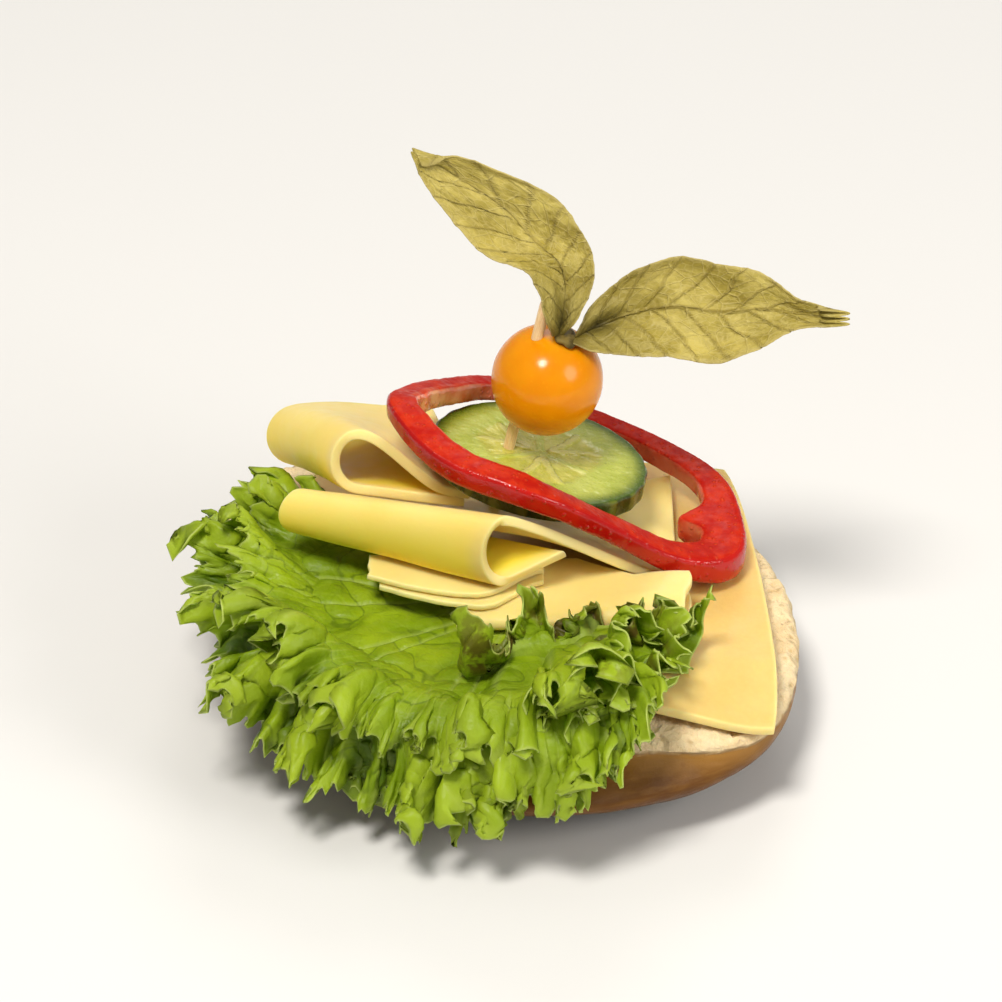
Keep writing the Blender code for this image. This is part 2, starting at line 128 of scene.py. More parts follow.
# ------------------------------------------------------------------ mesh builders
def make(name, verts, faces, node, mat, attrs=None, flat=False):
    """verts in mm; faces an int array of quads (or triangles as quads with a repeat)."""
    mesh = bpy.data.meshes.new(name)
    mesh.from_pydata((np.asarray(verts) * MM).tolist(), [], faces if isinstance(faces, list) else faces.tolist())
    bm = bmesh.new()
    bm.from_mesh(mesh)
    bmesh.ops.recalc_face_normals(bm, faces=bm.faces[:])
    bm.to_mesh(mesh)
    bm.free()
    for key, data in (attrs or {}).items():
        data = np.asarray(data, float)
        if data.ndim == 1:
            layer = mesh.attributes.new(key, "FLOAT", "POINT")
            layer.data.foreach_set("value", data)
        else:
            layer = mesh.attributes.new(key, "FLOAT_VECTOR", "POINT")
            layer.data.foreach_set("vector", data.ravel())
    mesh.polygons.foreach_set("use_smooth", [not flat] * len(mesh.polygons))
    obj = bpy.data.objects.new(name, mesh)
    bpy.context.scene.collection.objects.link(obj)
    mesh.materials.append(mat)
    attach(obj, "root")
    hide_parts(node)
    return obj


def grid_faces(index):
    a, b, c, d = index[:-1, :-1], index[1:, :-1], index[1:, 1:], index[:-1, 1:]
    return np.stack([a, b, c, d], -1).reshape(-1, 4)


def grid_normals(P):
    du = np.gradient(P, axis=0)
    dv = np.gradient(P, axis=1)
    return unit(np.cross(du, dv))


def edge_steps(n, length, edge):
    """n parameters 0..1, packed closely near both ends to draw a rounded rim."""
    near = np.array([0.0, 0.03, 0.15, 0.4, 0.75]) * edge / length
    inner = np.linspace(edge * 1.2 / length, 1 - edge * 1.2 / length, n - 2 * len(near))
    return np.concatenate([near, inner, 1 - near[::-1]])


def thick_sheet(name, P, thickness, edge, node, mat, attrs=None, square=4.0, rim=None):
    """A sheet with a rounded rim around the middle surface P (nu, nv, 3), mm."""
    nu, nv = P.shape[:2]
    N = grid_normals(P)
    lu = np.concatenate([np.zeros((1, nv)), np.cumsum(np.linalg.norm(np.diff(P, axis=0), axis=-1), 0)])
    lv = np.concatenate([np.zeros((nu, 1)), np.cumsum(np.linalg.norm(np.diff(P, axis=1), axis=-1), 1)], 1)
    d = np.minimum(np.minimum(lu, lu[-1:] - lu), np.minimum(lv, lv[:, -1:] - lv))
    k = np.clip(d / edge, 0, 1)
    half = np.asarray(thickness) / 2 * (1 - (1 - k) ** square) ** (1 / square)
    top = (P + N * half[..., None]).reshape(-1, 3)
    low = P - N * half[..., None]
    inside = np.zeros((nu, nv), bool)
    inside[1:-1, 1:-1] = True
    index = np.arange(nu * nv).reshape(nu, nv)
    low_index = index.copy()
    low_index[inside] = nu * nv + np.arange(inside.sum())
    verts = np.vstack([top, low[inside]])
    faces = np.vstack([grid_faces(index), grid_faces(low_index)[:, ::-1]])
    extra = {"rim": np.clip(1 - d / (rim or edge * 1.6), 0, 1)}
    extra.update(attrs or {})
    full = {}
    for key, data in extra.items():
        data = np.asarray(data, float)
        flat = data.reshape(nu * nv, *data.shape[2:])
        full[key] = np.concatenate([flat, data[inside]])
    side = np.concatenate([np.ones(nu * nv), np.zeros(int(inside.sum()))])
    full["side"] = side
    return make(name, verts, faces, node, mat, full)


# ---------------------------------------------------------------------- materials
class Look:
    """A Principled material with a few node helpers."""

    def __init__(self, name):
        self.mat = bpy.data.materials.new(name)
        self.mat.use_nodes = True
        self.tree = self.mat.node_tree
        self.bsdf = self.tree.nodes["Principled BSDF"]
        self.out = self.tree.nodes["Material Output"]
        self._pos = None

    def node(self, kind, **fields):
        n = self.tree.nodes.new(kind)
        for key, val in fields.items():
            setattr(n, key, val)
        return n

    def link(self, a, b):
        self.tree.links.new(a, b)

    def put(self, socket, val):
        if hasattr(val, "links") or isinstance(val, bpy.types.NodeSocket):
            self.link(val, socket)
        elif isinstance(val, (tuple, list)) and len(val) == 3 and socket.type == "RGBA":
            socket.default_value = (*val, 1.0)
        else:
            socket.default_value = val

    def pos(self):
        if self._pos is None:
            self._pos = self.node("ShaderNodeTexCoord").outputs["Object"]
        return self._pos

    def attr(self, name, out="Fac"):
        n = self.node("ShaderNodeAttribute", attribute_name=name)
        return n.outputs[out]

    def noise(self, scale, detail=3.0, rough=0.5, vector=None, distortion=0.0):
        n = self.node("ShaderNodeTexNoise")
        n.inputs["Scale"].default_value = scale
        n.inputs["Detail"].default_value = detail
        n.inputs["Roughness"].default_value = rough
        n.inputs["Distortion"].default_value = distortion
        self.link(vector or self.pos(), n.inputs["Vector"])
        return n.outputs["Fac"]

    def voronoi(self, scale, feature="F1", vector=None, out="Distance", randomness=1.0):
        n = self.node("ShaderNodeTexVoronoi", feature=feature)
        n.inputs["Scale"].default_value = scale
        n.inputs["Randomness"].default_value = randomness
        self.link(vector or self.pos(), n.inputs["Vector"])
        return n.outputs[out]

    def stretch(self, vector, scale):
        n = self.node("ShaderNodeMapping")
        n.inputs["Scale"].default_value = scale
        self.link(vector, n.inputs["Vector"])
        return n.outputs["Vector"]

    def maths(self, op, a, b=0.0, clamp=False):
        n = self.node("ShaderNodeMath", operation=op, use_clamp=clamp)
        self.put(n.inputs[0], a)
        self.put(n.inputs[1], b)
        return n.outputs[0]

    def band(self, val, lo, hi):
        n = self.node("ShaderNodeMapRange", interpolation_type="SMOOTHSTEP")
        self.put(n.inputs["Value"], val)
        n.inputs["From Min"].default_value = lo
        n.inputs["From Max"].default_value = hi
        return n.outputs["Result"]

    def span(self, val, lo, hi, to_lo, to_hi):
        n = self.node("ShaderNodeMapRange")
        self.put(n.inputs["Value"], val)
        for key, x in (("From Min", lo), ("From Max", hi), ("To Min", to_lo), ("To Max", to_hi)):
            n.inputs[key].default_value = x
        return n.outputs["Result"]

    def blend(self, fac, a, b, mode="MIX"):
        n = self.node("ShaderNodeMix", data_type="RGBA", blend_type=mode)
        self.put(n.inputs[0], fac)
        self.put(n.inputs[6], a)
        self.put(n.inputs[7], b)
        return n.outputs[2]

    def bump(self, height, distance, strength=1.0, normal=None):
        n = self.node("ShaderNodeBump")
        n.inputs["Strength"].default_value = strength
        n.inputs["Distance"].default_value = distance
        self.put(n.inputs["Height"], height)
        if normal is not None:
            self.link(normal, n.inputs["Normal"])
        return n.outputs["Normal"]

    def set(self, **inputs):
        for key, val in inputs.items():
            self.put(self.bsdf.inputs[key.replace("_", " ")], val)
        return self


def translucent(look, colour, share):
    """Thin leaf: part of the light comes through from behind."""
    back = look.node("ShaderNodeBsdfTranslucent")
    look.put(back.inputs["Color"], colour)
    both = look.node("ShaderNodeMixShader")
    both.inputs[0].default_value = share
    look.link(look.bsdf.outputs[0], both.inputs[1])
    look.link(back.outputs[0], both.inputs[2])
    look.link(both.outputs[0], look.out.inputs["Surface"])


def cheese_look(name, one=(0.81, 0.605, 0.200), two=(0.86, 0.655, 0.240)):
    k = Look(name)
    broad = k.noise(60, 2)
    fine = k.noise(900, 3, 0.6)
    col = k.blend(k.band(broad, 0.35, 0.65), one, two)
    col = k.blend(k.span(fine, 0.4, 0.7, 0.0, 0.10), col, (0.90, 0.72, 0.27))
    rim = k.attr("rim")
    col = k.blend(k.maths("MULTIPLY", rim, 0.50, True), col, (0.91, 0.75, 0.35))
    # painted glow: deeper gold inside the folds stands in for light bounced inside them and passed through the cheese
    col = k.blend(k.maths("MULTIPLY", k.attr("fold_glow"), 0.95, True), col, (0.97, 0.70, 0.045))
    speck = k.voronoi(150)
    dots = k.maths("SUBTRACT", 1.0, k.band(speck, 0.03, 0.055))
    pick_few = k.band(k.noise(70, 1), 0.60, 0.66)
    col = k.blend(k.maths("MULTIPLY", k.maths("MULTIPLY", dots, pick_few), 0.55), col, (0.42, 0.26, 0.05))
    rough = k.span(k.noise(420, 3), 0.3, 0.7, 0.36, 0.52)
    n1 = k.bump(k.noise(1500, 3, 0.65), 0.00006, 0.55)
    n2 = k.bump(k.noise(130, 2), 0.0004, 0.35, n1)
    k.set(Base_Color=col, Roughness=rough, Normal=n2, Subsurface_Weight=0.62,
          Subsurface_Radius=(0.0050, 0.0033, 0.0014), Subsurface_Scale=1.0, Specular_IOR_Level=0.20)
    return k.mat


def roll_look():
    k = Look("bread")
    crumb = k.attr("crumb")
    height = k.attr("height")
    pores = k.voronoi(420)
    fine = k.noise(1400, 4, 0.6)
    c1 = k.blend(k.band(k.noise(160, 3), 0.35, 0.65), (0.75, 0.56, 0.30), (0.86, 0.70, 0.43))
    # painted shade: the crumb's pores are coloured darker for the shade inside the holes
    c1 = k.blend(k.maths("MULTIPLY", k.maths("SUBTRACT", 1.0, k.band(pores, 0.10, 0.36)), 0.65), c1, (0.50, 0.32, 0.12))
    c1 = k.blend(k.span(fine, 0.35, 0.7, 0.0, 0.35), c1, (0.90, 0.76, 0.50))
    warm = k.noise(45, 3, 0.55)
    crust = k.blend(k.band(warm, 0.38, 0.62), (0.088, 0.028, 0.002), (0.145, 0.054, 0.004))
    # painted shade: the crust turns near-black towards the bottom of the roll
    crust = k.blend(k.maths("SUBTRACT", 1.0, k.band(height, 0.08, 0.62)), crust, (0.034, 0.011, 0.0014))
    crust = k.blend(k.maths("MULTIPLY", k.band(height, 0.70, 0.99), 0.70), crust, (0.40, 0.200, 0.040))
    streak = k.noise(1.0, 4, 0.6, k.stretch(k.pos(), (160, 160, 900)))
    crust = k.blend(k.span(streak, 0.45, 0.75, 0.0, 0.34), crust, (0.34, 0.165, 0.034))
    spots = k.maths("SUBTRACT", 1.0, k.band(k.voronoi(230), 0.05, 0.16))
    crust = k.blend(k.maths("MULTIPLY", spots, 0.22), crust, (0.14, 0.045, 0.010))
    col = k.blend(crumb, crust, c1)
    rough = k.blend(crumb, k.span(k.noise(300, 3), 0.3, 0.7, 0.34, 0.56), (0.92, 0.92, 0.92))
    holes = k.maths("ADD", k.maths("MULTIPLY", pores, 0.8), k.maths("MULTIPLY", fine, 0.5))
    nb = k.bump(k.maths("MULTIPLY", holes, crumb), 0.0011, 1.0)
    wr = k.noise(1.0, 4, 0.6, k.stretch(k.pos(), (220, 220, 620)))
    nc = k.bump(wr, 0.00035, 0.5, nb)
    nd = k.bump(k.noise(2200, 3, 0.6), 0.00008, 0.5, nc)
    k.set(Base_Color=col, Roughness=rough, Normal=nd, Subsurface_Weight=0.12,
          Subsurface_Radius=(0.003, 0.0018, 0.0008), Subsurface_Scale=1.0, Specular_IOR_Level=0.24)
    return k.mat


def leaf_look(name):
    k = Look(name)
    vein, edge = k.attr("vein"), k.attr("edge")
    mapped = k.attr("map", "Vector")
    big, mid = k.maths("ABSOLUTE", k.attr("net_a")), k.maths("ABSOLUTE", k.attr("net_b"))
    web = k.voronoi(1.0, "DISTANCE_TO_EDGE", k.stretch(mapped, (0.42, 0.42, 0.3)))
    crease_shade = k.maths("SUBTRACT", 1.0, k.band(big, 0.006, 0.050))
    fine_crease_shade = k.maths("SUBTRACT", 1.0, k.band(mid, 0.004, 0.060))
    broad = k.noise(80, 3, 0.55)
    col = k.blend(k.band(broad, 0.35, 0.65), (0.280, 0.420, 0.005), (0.440, 0.590, 0.012))
    col = k.blend(k.maths("MULTIPLY", k.attr("shade"), 0.50, True), col, (0.185, 0.310, 0.004))
    # painted shade: darker lines along the creases between the puffs of the blade
    col = k.blend(k.maths("MULTIPLY", fine_crease_shade, 0.25), col, (0.150, 0.250, 0.004))
    col = k.blend(k.maths("MULTIPLY", crease_shade, 0.65), col, (0.095, 0.170, 0.003))
    fine = k.noise(600, 3, 0.6)
    # painted shade and painted light: ruffle valleys darker and crests lighter, for the shade and light that fall on
    # them
    high = k.attr("fold")
    low = k.maths("SUBTRACT", 1.0, k.band(high, 0.10, 0.50))
    col = k.blend(k.maths("MULTIPLY", low, 0.90), col, (0.085, 0.170, 0.002))
    col = k.blend(k.span(high, 0.60, 0.98, 0.0, 0.30), col, (0.540, 0.670, 0.030))
    col = k.blend(k.span(fine, 0.42, 0.70, 0.0, 0.20), col, (0.520, 0.640, 0.080))
    col = k.blend(k.maths("MULTIPLY", k.attr("fan"), 0.30), col, (0.600, 0.700, 0.140))
    col = k.blend(k.maths("MULTIPLY", vein, 0.60, True), col, (0.520, 0.640, 0.130))
    col = k.blend(k.maths("MULTIPLY", edge, 0.24, True), col, (0.540, 0.660, 0.070))
    # painted highlight: a bright line along the leaf's rim
    col = k.blend(k.band(k.attr("rim"), 0.20, 1.0), col, (0.620, 0.720, 0.180))
    brown = k.maths("MULTIPLY", k.attr("brown"), k.band(k.noise(260, 4, 0.65), 0.40, 0.55))
    col = k.blend(brown, col, (0.115, 0.055, 0.012))
    # the holes are not cut: near-black painted shade stands in for the space seen through them
    col = k.blend(k.band(k.attr("hole"), 0.30, 0.42), col, (0.020, 0.010, 0.004))
    rough = k.span(k.noise(400, 3), 0.3, 0.7, 0.36, 0.54)
    n0 = k.bump(k.band(big, 0.0, 0.30), 0.0006, 0.45)
    n1 = k.bump(k.band(web, 0.0, 0.16), 0.00012, 0.35, n0)
    n2 = k.bump(fine, 0.00016, 0.5, n1)
    n3 = k.bump(k.noise(240, 4, 0.62), 0.0009, 0.55, n2)
    k.set(Base_Color=col, Roughness=rough, Normal=n3, Specular_IOR_Level=0.36)
    translucent(k, k.blend(0.60, col, (0.46, 0.66, 0.004)), 0.40)
    return k.mat


def pepper_look():
    k = Look("pepper")
    cut, inner = k.attr("cut"), k.attr("inner")
    skin = k.blend(k.band(k.noise(90, 2), 0.35, 0.65), (0.36, 0.003, 0.002), (0.47, 0.007, 0.003))
    flesh = k.blend(k.band(k.noise(320, 4, 0.6), 0.35, 0.68), (0.40, 0.008, 0.003), (0.52, 0.026, 0.006))
    pulp = k.blend(k.band(k.noise(180, 3), 0.35, 0.65), (0.76, 0.14, 0.040), (0.90, 0.44, 0.22))
    col = k.blend(cut, skin, flesh)
    col = k.blend(inner, col, pulp)
    drops = k.maths("SUBTRACT", 1.0, k.band(k.voronoi(700), 0.08, 0.30))
    wet = k.maths("MULTIPLY", drops, cut)
    col = k.blend(k.maths("MULTIPLY", wet, 0.30), col, (0.70, 0.085, 0.020))
    rough = k.blend(cut, (0.16, 0.16, 0.16), k.span(k.noise(800, 2), 0.3, 0.7, 0.28, 0.55))
    n0 = k.bump(drops, 0.0003, 0.55)
    n1 = k.bump(k.noise(600, 3, 0.6), 0.00022, 0.5, n0)
    k.set(Base_Color=col, Roughness=rough, Normal=n1, Subsurface_Weight=0.15,
          Subsurface_Radius=(0.004, 0.0006, 0.0004), Subsurface_Scale=1.0,
          Specular_IOR_Level=k.maths("SUBTRACT", 0.42, k.maths("MULTIPLY", cut, 0.34)))
    return k.mat


def cuke_look():
    k = Look("cucumber")
    rad, seed, gel, skin = k.attr("rad"), k.attr("seed"), k.attr("gel"), k.attr("skin")
    flesh = k.blend(k.band(k.noise(200, 3), 0.3, 0.7), (0.37, 0.430, 0.050), (0.47, 0.520, 0.095))
    flesh = k.blend(k.band(rad, 0.72, 0.97), flesh, (0.22, 0.265, 0.016))
    flesh = k.blend(k.maths("MULTIPLY", k.band(rad, 0.85, 0.99), 0.92), flesh, (0.040, 0.085, 0.005))
    core = k.blend(k.band(k.noise(420, 3), 0.35, 0.7), (0.41, 0.415, 0.045), (0.53, 0.520, 0.095))
    col = k.blend(gel, flesh, core)
    col = k.blend(k.maths("MULTIPLY", seed, 0.48), col, (0.60, 0.57, 0.20))
    stripe = k.attr("stripe")
    green = k.blend(stripe, (0.030, 0.050, 0.003), (0.12, 0.14, 0.012))
    green = k.blend(k.span(k.noise(700, 3), 0.45, 0.75, 0.0, 0.5), green, (0.16, 0.18, 0.03))
    col = k.blend(skin, col, green)
    rough = k.span(k.noise(500, 3), 0.3, 0.7, 0.16, 0.40)
    radial = k.noise(1.0, 3, 0.6, k.stretch(k.attr("polar", "Vector"), (26, 2.2, 1)))
    n0 = k.bump(k.maths("MULTIPLY", radial, k.maths("SUBTRACT", 1.0, skin)), 0.0005, 0.45)
    n1 = k.bump(k.noise(1100, 3), 0.00014, 0.55, n0)
    n2 = k.bump(seed, 0.0004, 0.5, n1)
    k.set(Base_Color=col, Roughness=rough, Normal=n2, Subsurface_Weight=0.30,
          Subsurface_Radius=(0.003, 0.0034, 0.0012), Subsurface_Scale=1.0,
          Specular_IOR_Level=0.34, Coat_Weight=0.12, Coat_Roughness=0.15)
    return k.mat


def berry_look():
    k = Look("winter_cherry")
    pole = k.attr("pole")
    col = k.blend(k.band(k.noise(60, 3), 0.35, 0.65), (0.64, 0.200, 0.0002), (0.74, 0.270, 0.0004))
    col = k.blend(k.maths("MULTIPLY", k.band(pole, 0.45, 1.0), 0.20), col, (0.72, 0.29, 0.004))
    pores = k.maths("SUBTRACT", 1.0, k.band(k.voronoi(900), 0.10, 0.28))
    col = k.blend(k.maths("MULTIPLY", pores, 0.16), col, (0.80, 0.36, 0.010))
    col = k.blend(k.attr("stalk"), col, (0.34, 0.20, 0.03))
    n0 = k.bump(k.noise(900, 3, 0.6), 0.00005, 0.5)
    n1 = k.bump(k.noise(110, 2), 0.0004, 0.25, n0)
    k.set(Base_Color=col, Roughness=k.span(k.noise(500, 3), 0.3, 0.7, 0.16, 0.26), Normal=n1,
          Subsurface_Weight=0.35, Subsurface_Radius=(0.006, 0.0022, 0.0003), Subsurface_Scale=1.0,
          Specular_IOR_Level=0.18, Coat_Weight=0.11, Coat_Roughness=0.07)
    return k.mat


def husk_look(name):
    k = Look(name)
    vein, edge = k.attr("vein"), k.attr("edge")
    par = k.attr("par", "Vector")
    net = k.voronoi(1.0, "DISTANCE_TO_EDGE", k.stretch(par, (12, 3.4, 1)))
    net2 = k.voronoi(1.0, "DISTANCE_TO_EDGE", k.stretch(par, (33, 9.5, 1)))
    lines = k.maths("SUBTRACT", 1.0, k.band(net, 0.0, 0.045))
    lines2 = k.maths("SUBTRACT", 1.0, k.band(net2, 0.0, 0.10))
    col = k.blend(k.band(k.noise(150, 4, 0.6), 0.32, 0.68), (0.42, 0.335, 0.052), (0.62, 0.515, 0.125))
    col = k.blend(k.span(k.noise(900, 3), 0.45, 0.75, 0.0, 0.4), col, (0.68, 0.57, 0.18))
    sunk = k.noise(1.0, 3, 0.6, k.stretch(par, (15, 5.0, 1)))
    # painted shade: darker in the hollows where the sunk relief is low
    col = k.blend(k.span(sunk, 0.38, 0.58, 0.36, 0.0), col, (0.255, 0.190, 0.026))
    # painted highlight: the raised net of ridges is coloured paler where light catches it
    col = k.blend(k.maths("MULTIPLY", lines2, 0.30), col, (0.70, 0.60, 0.22))
    col = k.blend(k.maths("MULTIPLY", lines, 0.50), col, (0.66, 0.56, 0.19))
    col = k.blend(k.maths("MULTIPLY", vein, 0.60, True), col, (0.30, 0.22, 0.05))
    # painted shade: foot, base and pocket darken the leaf towards the berry, deepest in the hollow of its fold
    col = k.blend(k.maths("MULTIPLY", k.attr("foot"), 0.42, True), col, (0.200, 0.150, 0.016))
    col = k.blend(k.maths("MULTIPLY", k.attr("base"), 0.85, True), col, (0.150, 0.105, 0.010))
    col = k.blend(k.maths("MULTIPLY", k.attr("pocket"), 0.85, True), col, (0.060, 0.046, 0.006))
    col = k.blend(k.maths("MULTIPLY", edge, 0.35, True), col, (0.62, 0.52, 0.22))
    ridge = k.maths("ADD", k.maths("MULTIPLY", lines, 0.6), k.maths("MULTIPLY", lines2, 0.12))
    ridge = k.maths("ADD", ridge, k.maths("MULTIPLY", sunk, 1.2))
    n0 = k.bump(ridge, 0.0006, 0.45)
    n1 = k.bump(k.noise(420, 4, 0.6), 0.0004, 0.4, n0)
    n2 = k.bump(vein, 0.0006, 0.7, n1)
    k.set(Base_Color=col, Roughness=k.span(k.noise(300, 3), 0.3, 0.7, 0.42, 0.62), Normal=n2,
          Specular_IOR_Level=0.35)
    translucent(k, col, 0.25)
    return k.mat


def wood_look():
    k = Look("pick_wood_grain")
    grain = k.noise(1.0, 5, 0.6, k.stretch(k.attr("along", "Vector"), (9, 9, 0.35)))
    col = k.blend(k.band(grain, 0.3, 0.7), (0.72, 0.47, 0.20), (0.90, 0.69, 0.38))
    col = k.blend(k.span(k.noise(2500, 3), 0.4, 0.7, 0.0, 0.3), col, (0.93, 0.75, 0.46))
    n0 = k.bump(grain, 0.00012, 0.6)
    k.set(Base_Color=col, Roughness=k.span(grain, 0.3, 0.7, 0.5, 0.7), Normal=n0, Subsurface_Weight=0.1,
          Subsurface_Radius=(0.001, 0.0006, 0.0003), Subsurface_Scale=1.0)
    return k.mat


# -------------------------------------------------------------------- bread roll
def oval(theta):
    a = theta - ROLL_TURN
    r = 1.0 / np.sqrt((np.cos(a) / ROLL_LONG) ** 2 + (np.sin(a) / ROLL_WIDE) ** 2)
    r = r * (1.0 + 0.006 * np.sin(5 * theta + 0.6) + 0.004 * np.sin(9 * theta + 2.0))
    return r * (1.0 - 0.040 * bump_at(theta, math.radians(-4), 0.42)
                - 0.045 * bump_at(theta, math.radians(-68), 0.5))


def rim_of(theta):
    front = np.maximum(-np.sin(theta), 0.0)
    return (oval(theta) ** -14.0 + (front / ROLL_CUT) ** 14.0) ** (-1.0 / 14.0)


def roll_face(x, y):
    dx, dy = x - ROLL_MID[0], y - ROLL_MID[1]
    theta = np.arctan2(dy, dx)
    s = np.hypot(dx, dy) / rim_of(theta)
    dip = 1.6 * bump_at(theta, math.radians(-36), 0.35) - 1.2 * bump_at(theta, math.radians(-80), 0.38)
    z = mix(ROLL_DOME, ROLL_RIM - dip, np.minimum(s, 1.0) ** 2.6)
    return z + 0.22 * np.sin(x * 0.41 + 1.0) * np.sin(y * 0.37)


def build_roll():
    n_round, n_sole, n_side, n_face = 420, 10, 62, 74
    theta = np.linspace(-math.pi, math.pi, n_round, endpoint=False)[:, None]
    k1 = np.linspace(0.15, 1, n_sole)
    k2 = np.linspace(0, 1, n_side + 1)[1:]
    k3 = np.linspace(0, 1, n_face + 1)[1:-1]
    full = oval(theta)
    X, Y, Z, crumb, height = [], [], [], [], []

    def add(x, y, z, c, h):
        for store, val in ((X, x), (Y, y), (Z, z), (crumb, c), (height, h)):
            store.append(np.broadcast_to(val, (n_round, 1)))

    for k in k1:
        add(full * ROLL_FOOT * k * np.cos(theta), full * ROLL_FOOT * k * np.sin(theta), 0.0, 0.0, 0.0)
    edge_r = rim_of(theta)
    rim_x = ROLL_MID[0] + edge_r * 0.985 * np.cos(theta)
    rim_y = ROLL_MID[1] + edge_r * 0.985 * np.sin(theta)
    rim_z = roll_face(rim_x, rim_y) - 1.1
    for k in k2:
        out = math.sin(k * math.pi / 2)
        up = 1.0 - (1.0 - out ** 1.15) ** 0.5
        share = mix(ROLL_FOOT, 1.0, out)
        share = share + 0.035 * bump_at(up, 0.6, 0.2) * bump_at(theta, math.radians(-85), 0.4)
        share = mix(share, edge_r / full, float(smooth((up - 0.55) / 0.45)))
        c = float(smooth(up))
        x = ROLL_MID[0] * c + full * share * np.cos(theta)
        y = ROLL_MID[1] * c + full * share * np.sin(theta)
        add(x, y, rim_z * up, 0.0, up)
    for k in k3:
        share = 0.985 * (1 - k)
        if k < 0.03:
            share = mix(1.0, 0.985, k / 0.03) * (1 - k)
        x = ROLL_MID[0] + edge_r * share * np.cos(theta)
        y = ROLL_MID[1] + edge_r * share * np.sin(theta)
        add(x, y, roll_face(x, y), 1.0, 1.0)
    X, Y, Z, crumb, height = (np.concatenate(s, 1) for s in (X, Y, Z, crumb, height))
    P = np.stack([X, Y, Z], -1)
    du = np.roll(P, -1, 0) - np.roll(P, 1, 0)
    dv = np.gradient(P, axis=1)
    N = unit(np.cross(du, dv))
    sign = np.sign((N * (P - np.array([0, 3, 9]))).sum(-1, keepdims=True))
    N = N * np.where(sign == 0, 1, sign)
    # crumb: soft lumps, open pores and a torn edge; crust: fine wrinkles
    a = fbm(X / 2.6, Y / 2.6, Z / 2.6, 3, 4, 0.6)
    pores = np.clip(noise(X / 1.15, Y / 1.15, Z / 1.15, 21) - 0.22, 0, 1) * 1.9
    pores = pores + np.clip(noise(X / 0.62, Y / 0.62, Z / 0.62, 23) - 0.25, 0, 1) * 0.9
    rel = np.clip(np.hypot(X - ROLL_MID[0], Y - ROLL_MID[1]) / rim_of(np.arctan2(Y - ROLL_MID[1], X - ROLL_MID[0])), 0, 1.1)
    torn = smooth((rel - 0.90) / 0.10) * crumb
    d = crumb * (0.40 * a - pores * 1.0 + torn * (0.95 * noise(X / 2.6, Y / 2.6, 0, 31) + 0.5 * a - 0.1))
    top_band = smooth((height - 0.86) / 0.14) * (1 - crumb)
    d = d + (1 - crumb) * 0.12 * fbm(X / 6, Y / 6, Z / 2.5, 11, 4) * smooth(height * 4)
    d = d + top_band * (0.45 * noise(X / 2.3, Y / 2.3, Z / 2.3, 41) - 0.1)
    under = smooth((SLICE_Z - 0.7 - Z) / 0.6)          # keep below the cheese
    d = np.where((crumb > 0.5) & (d > 0) & (Z > 21.2), d * 0.4, d)
    P = P + N * d[..., None]
    sole = P[..., 2] < 0
    P[sole, 2] = 0.0
    n = P.shape[1]
    verts = np.vstack([P.reshape(-1, 3), [[0, 0, 0.0]],
                       [[ROLL_MID[0], ROLL_MID[1], float(roll_face(np.array(ROLL_MID[0] + 1e-6), np.array(ROLL_MID[1])))]]])
    index = np.arange(n_round * n).reshape(n_round, n)
    wrap = np.vstack([index, index[:1]])
    faces = grid_faces(wrap).tolist()
    low, high = n_round * n, n_round * n + 1
    for i in range(n_round):
        j = (i + 1) % n_round
        faces.append([low, int(index[j, 0]), int(index[i, 0])])
        faces.append([high, int(index[i, -1]), int(index[j, -1])])
    cr = crumb.copy()
    edge_cr = noise(X / 3.0, Y / 3.0, Z / 3.0, 51) * 0.5 + noise(X / 1.1, Y / 1.1, Z / 1.1, 52) * 0.3
    cr = np.maximum(cr, smooth((height - 0.945 + edge_cr * 0.05) / 0.04) * (1 - crumb) * 0.85)
    ends = [0.0, 1.0]
    attrs = {"crumb": np.concatenate([cr.ravel(), ends]), "height": np.concatenate([height.ravel(), ends])}
    make("roll_half", verts, faces, "bread_roll", roll_look(), attrs)


# ------------------------------------------------------------------------- cheese
def fold(t, lower, rise, depth, height, upper, rest, slope, pinch, floor=-99.0):
    t = np.asarray(t, float)
    xl = lower * (1 - t / 0.32)
    a = np.clip((t - 0.32) / 0.28, 0, 1) * math.pi
    xb, zb = -depth * np.sin(a), height * (0.5 - 0.5 * np.cos(a))
    xu = upper * np.clip((t - 0.60) / 0.40, 0, 1)
    zu = np.maximum(rest + slope * xu + (height - rest) * (1 - smooth(xu / pinch)), floor)
    x = np.where(t < 0.32, xl, np.where(t < 0.60, xb, xu))
    z = np.where(t < 0.32, rise * xl, np.where(t < 0.60, zb, zu))
    return x, z


def lay(origin, heading, section):
    c, s = math.cos(heading), math.sin(heading)
    x, z = section
    ox, oy, oz = origin
    return np.stack([ox + c * x, oy + s * x, oz + z], -1)


def ruled(near, far, v):
    return near[:, None, :] + (far - near)[:, None, :] * v[None, :, None]


def relax(P, rounds):
    """Soften the joints of the section along u, ends held."""
    for _ in range(rounds):
        P[1:-1] = P[1:-1] * 0.5 + (P[:-2] + P[2:]) * 0.25
    return P


def sway(P, size, reach, seed):
    d = noise(P[..., 0] / reach, P[..., 1] / reach, P[..., 2] / reach, seed) * size
    return P + grid_normals(P) * d[..., None]


def wobble_edge(u, reach, seed, size):
    return size * (noise(u * reach, 0.3, 0.7, seed) + 0.4 * noise(u * reach * 3.1, 1.3, 0.7, seed + 1))


def painted_fold_glow(P, u, v):
    """Painted glow: deeper gold on the layer that lies inside a fold, away from its cut edges, standing in for light
    bounced inside the fold and passed through the cheese.
    """
    a = smooth((0.62 - u) / 0.25)[:, None] * smooth(v * 9.0)[None, :]
    return {"fold_glow": a * np.ones(P.shape[:2])}


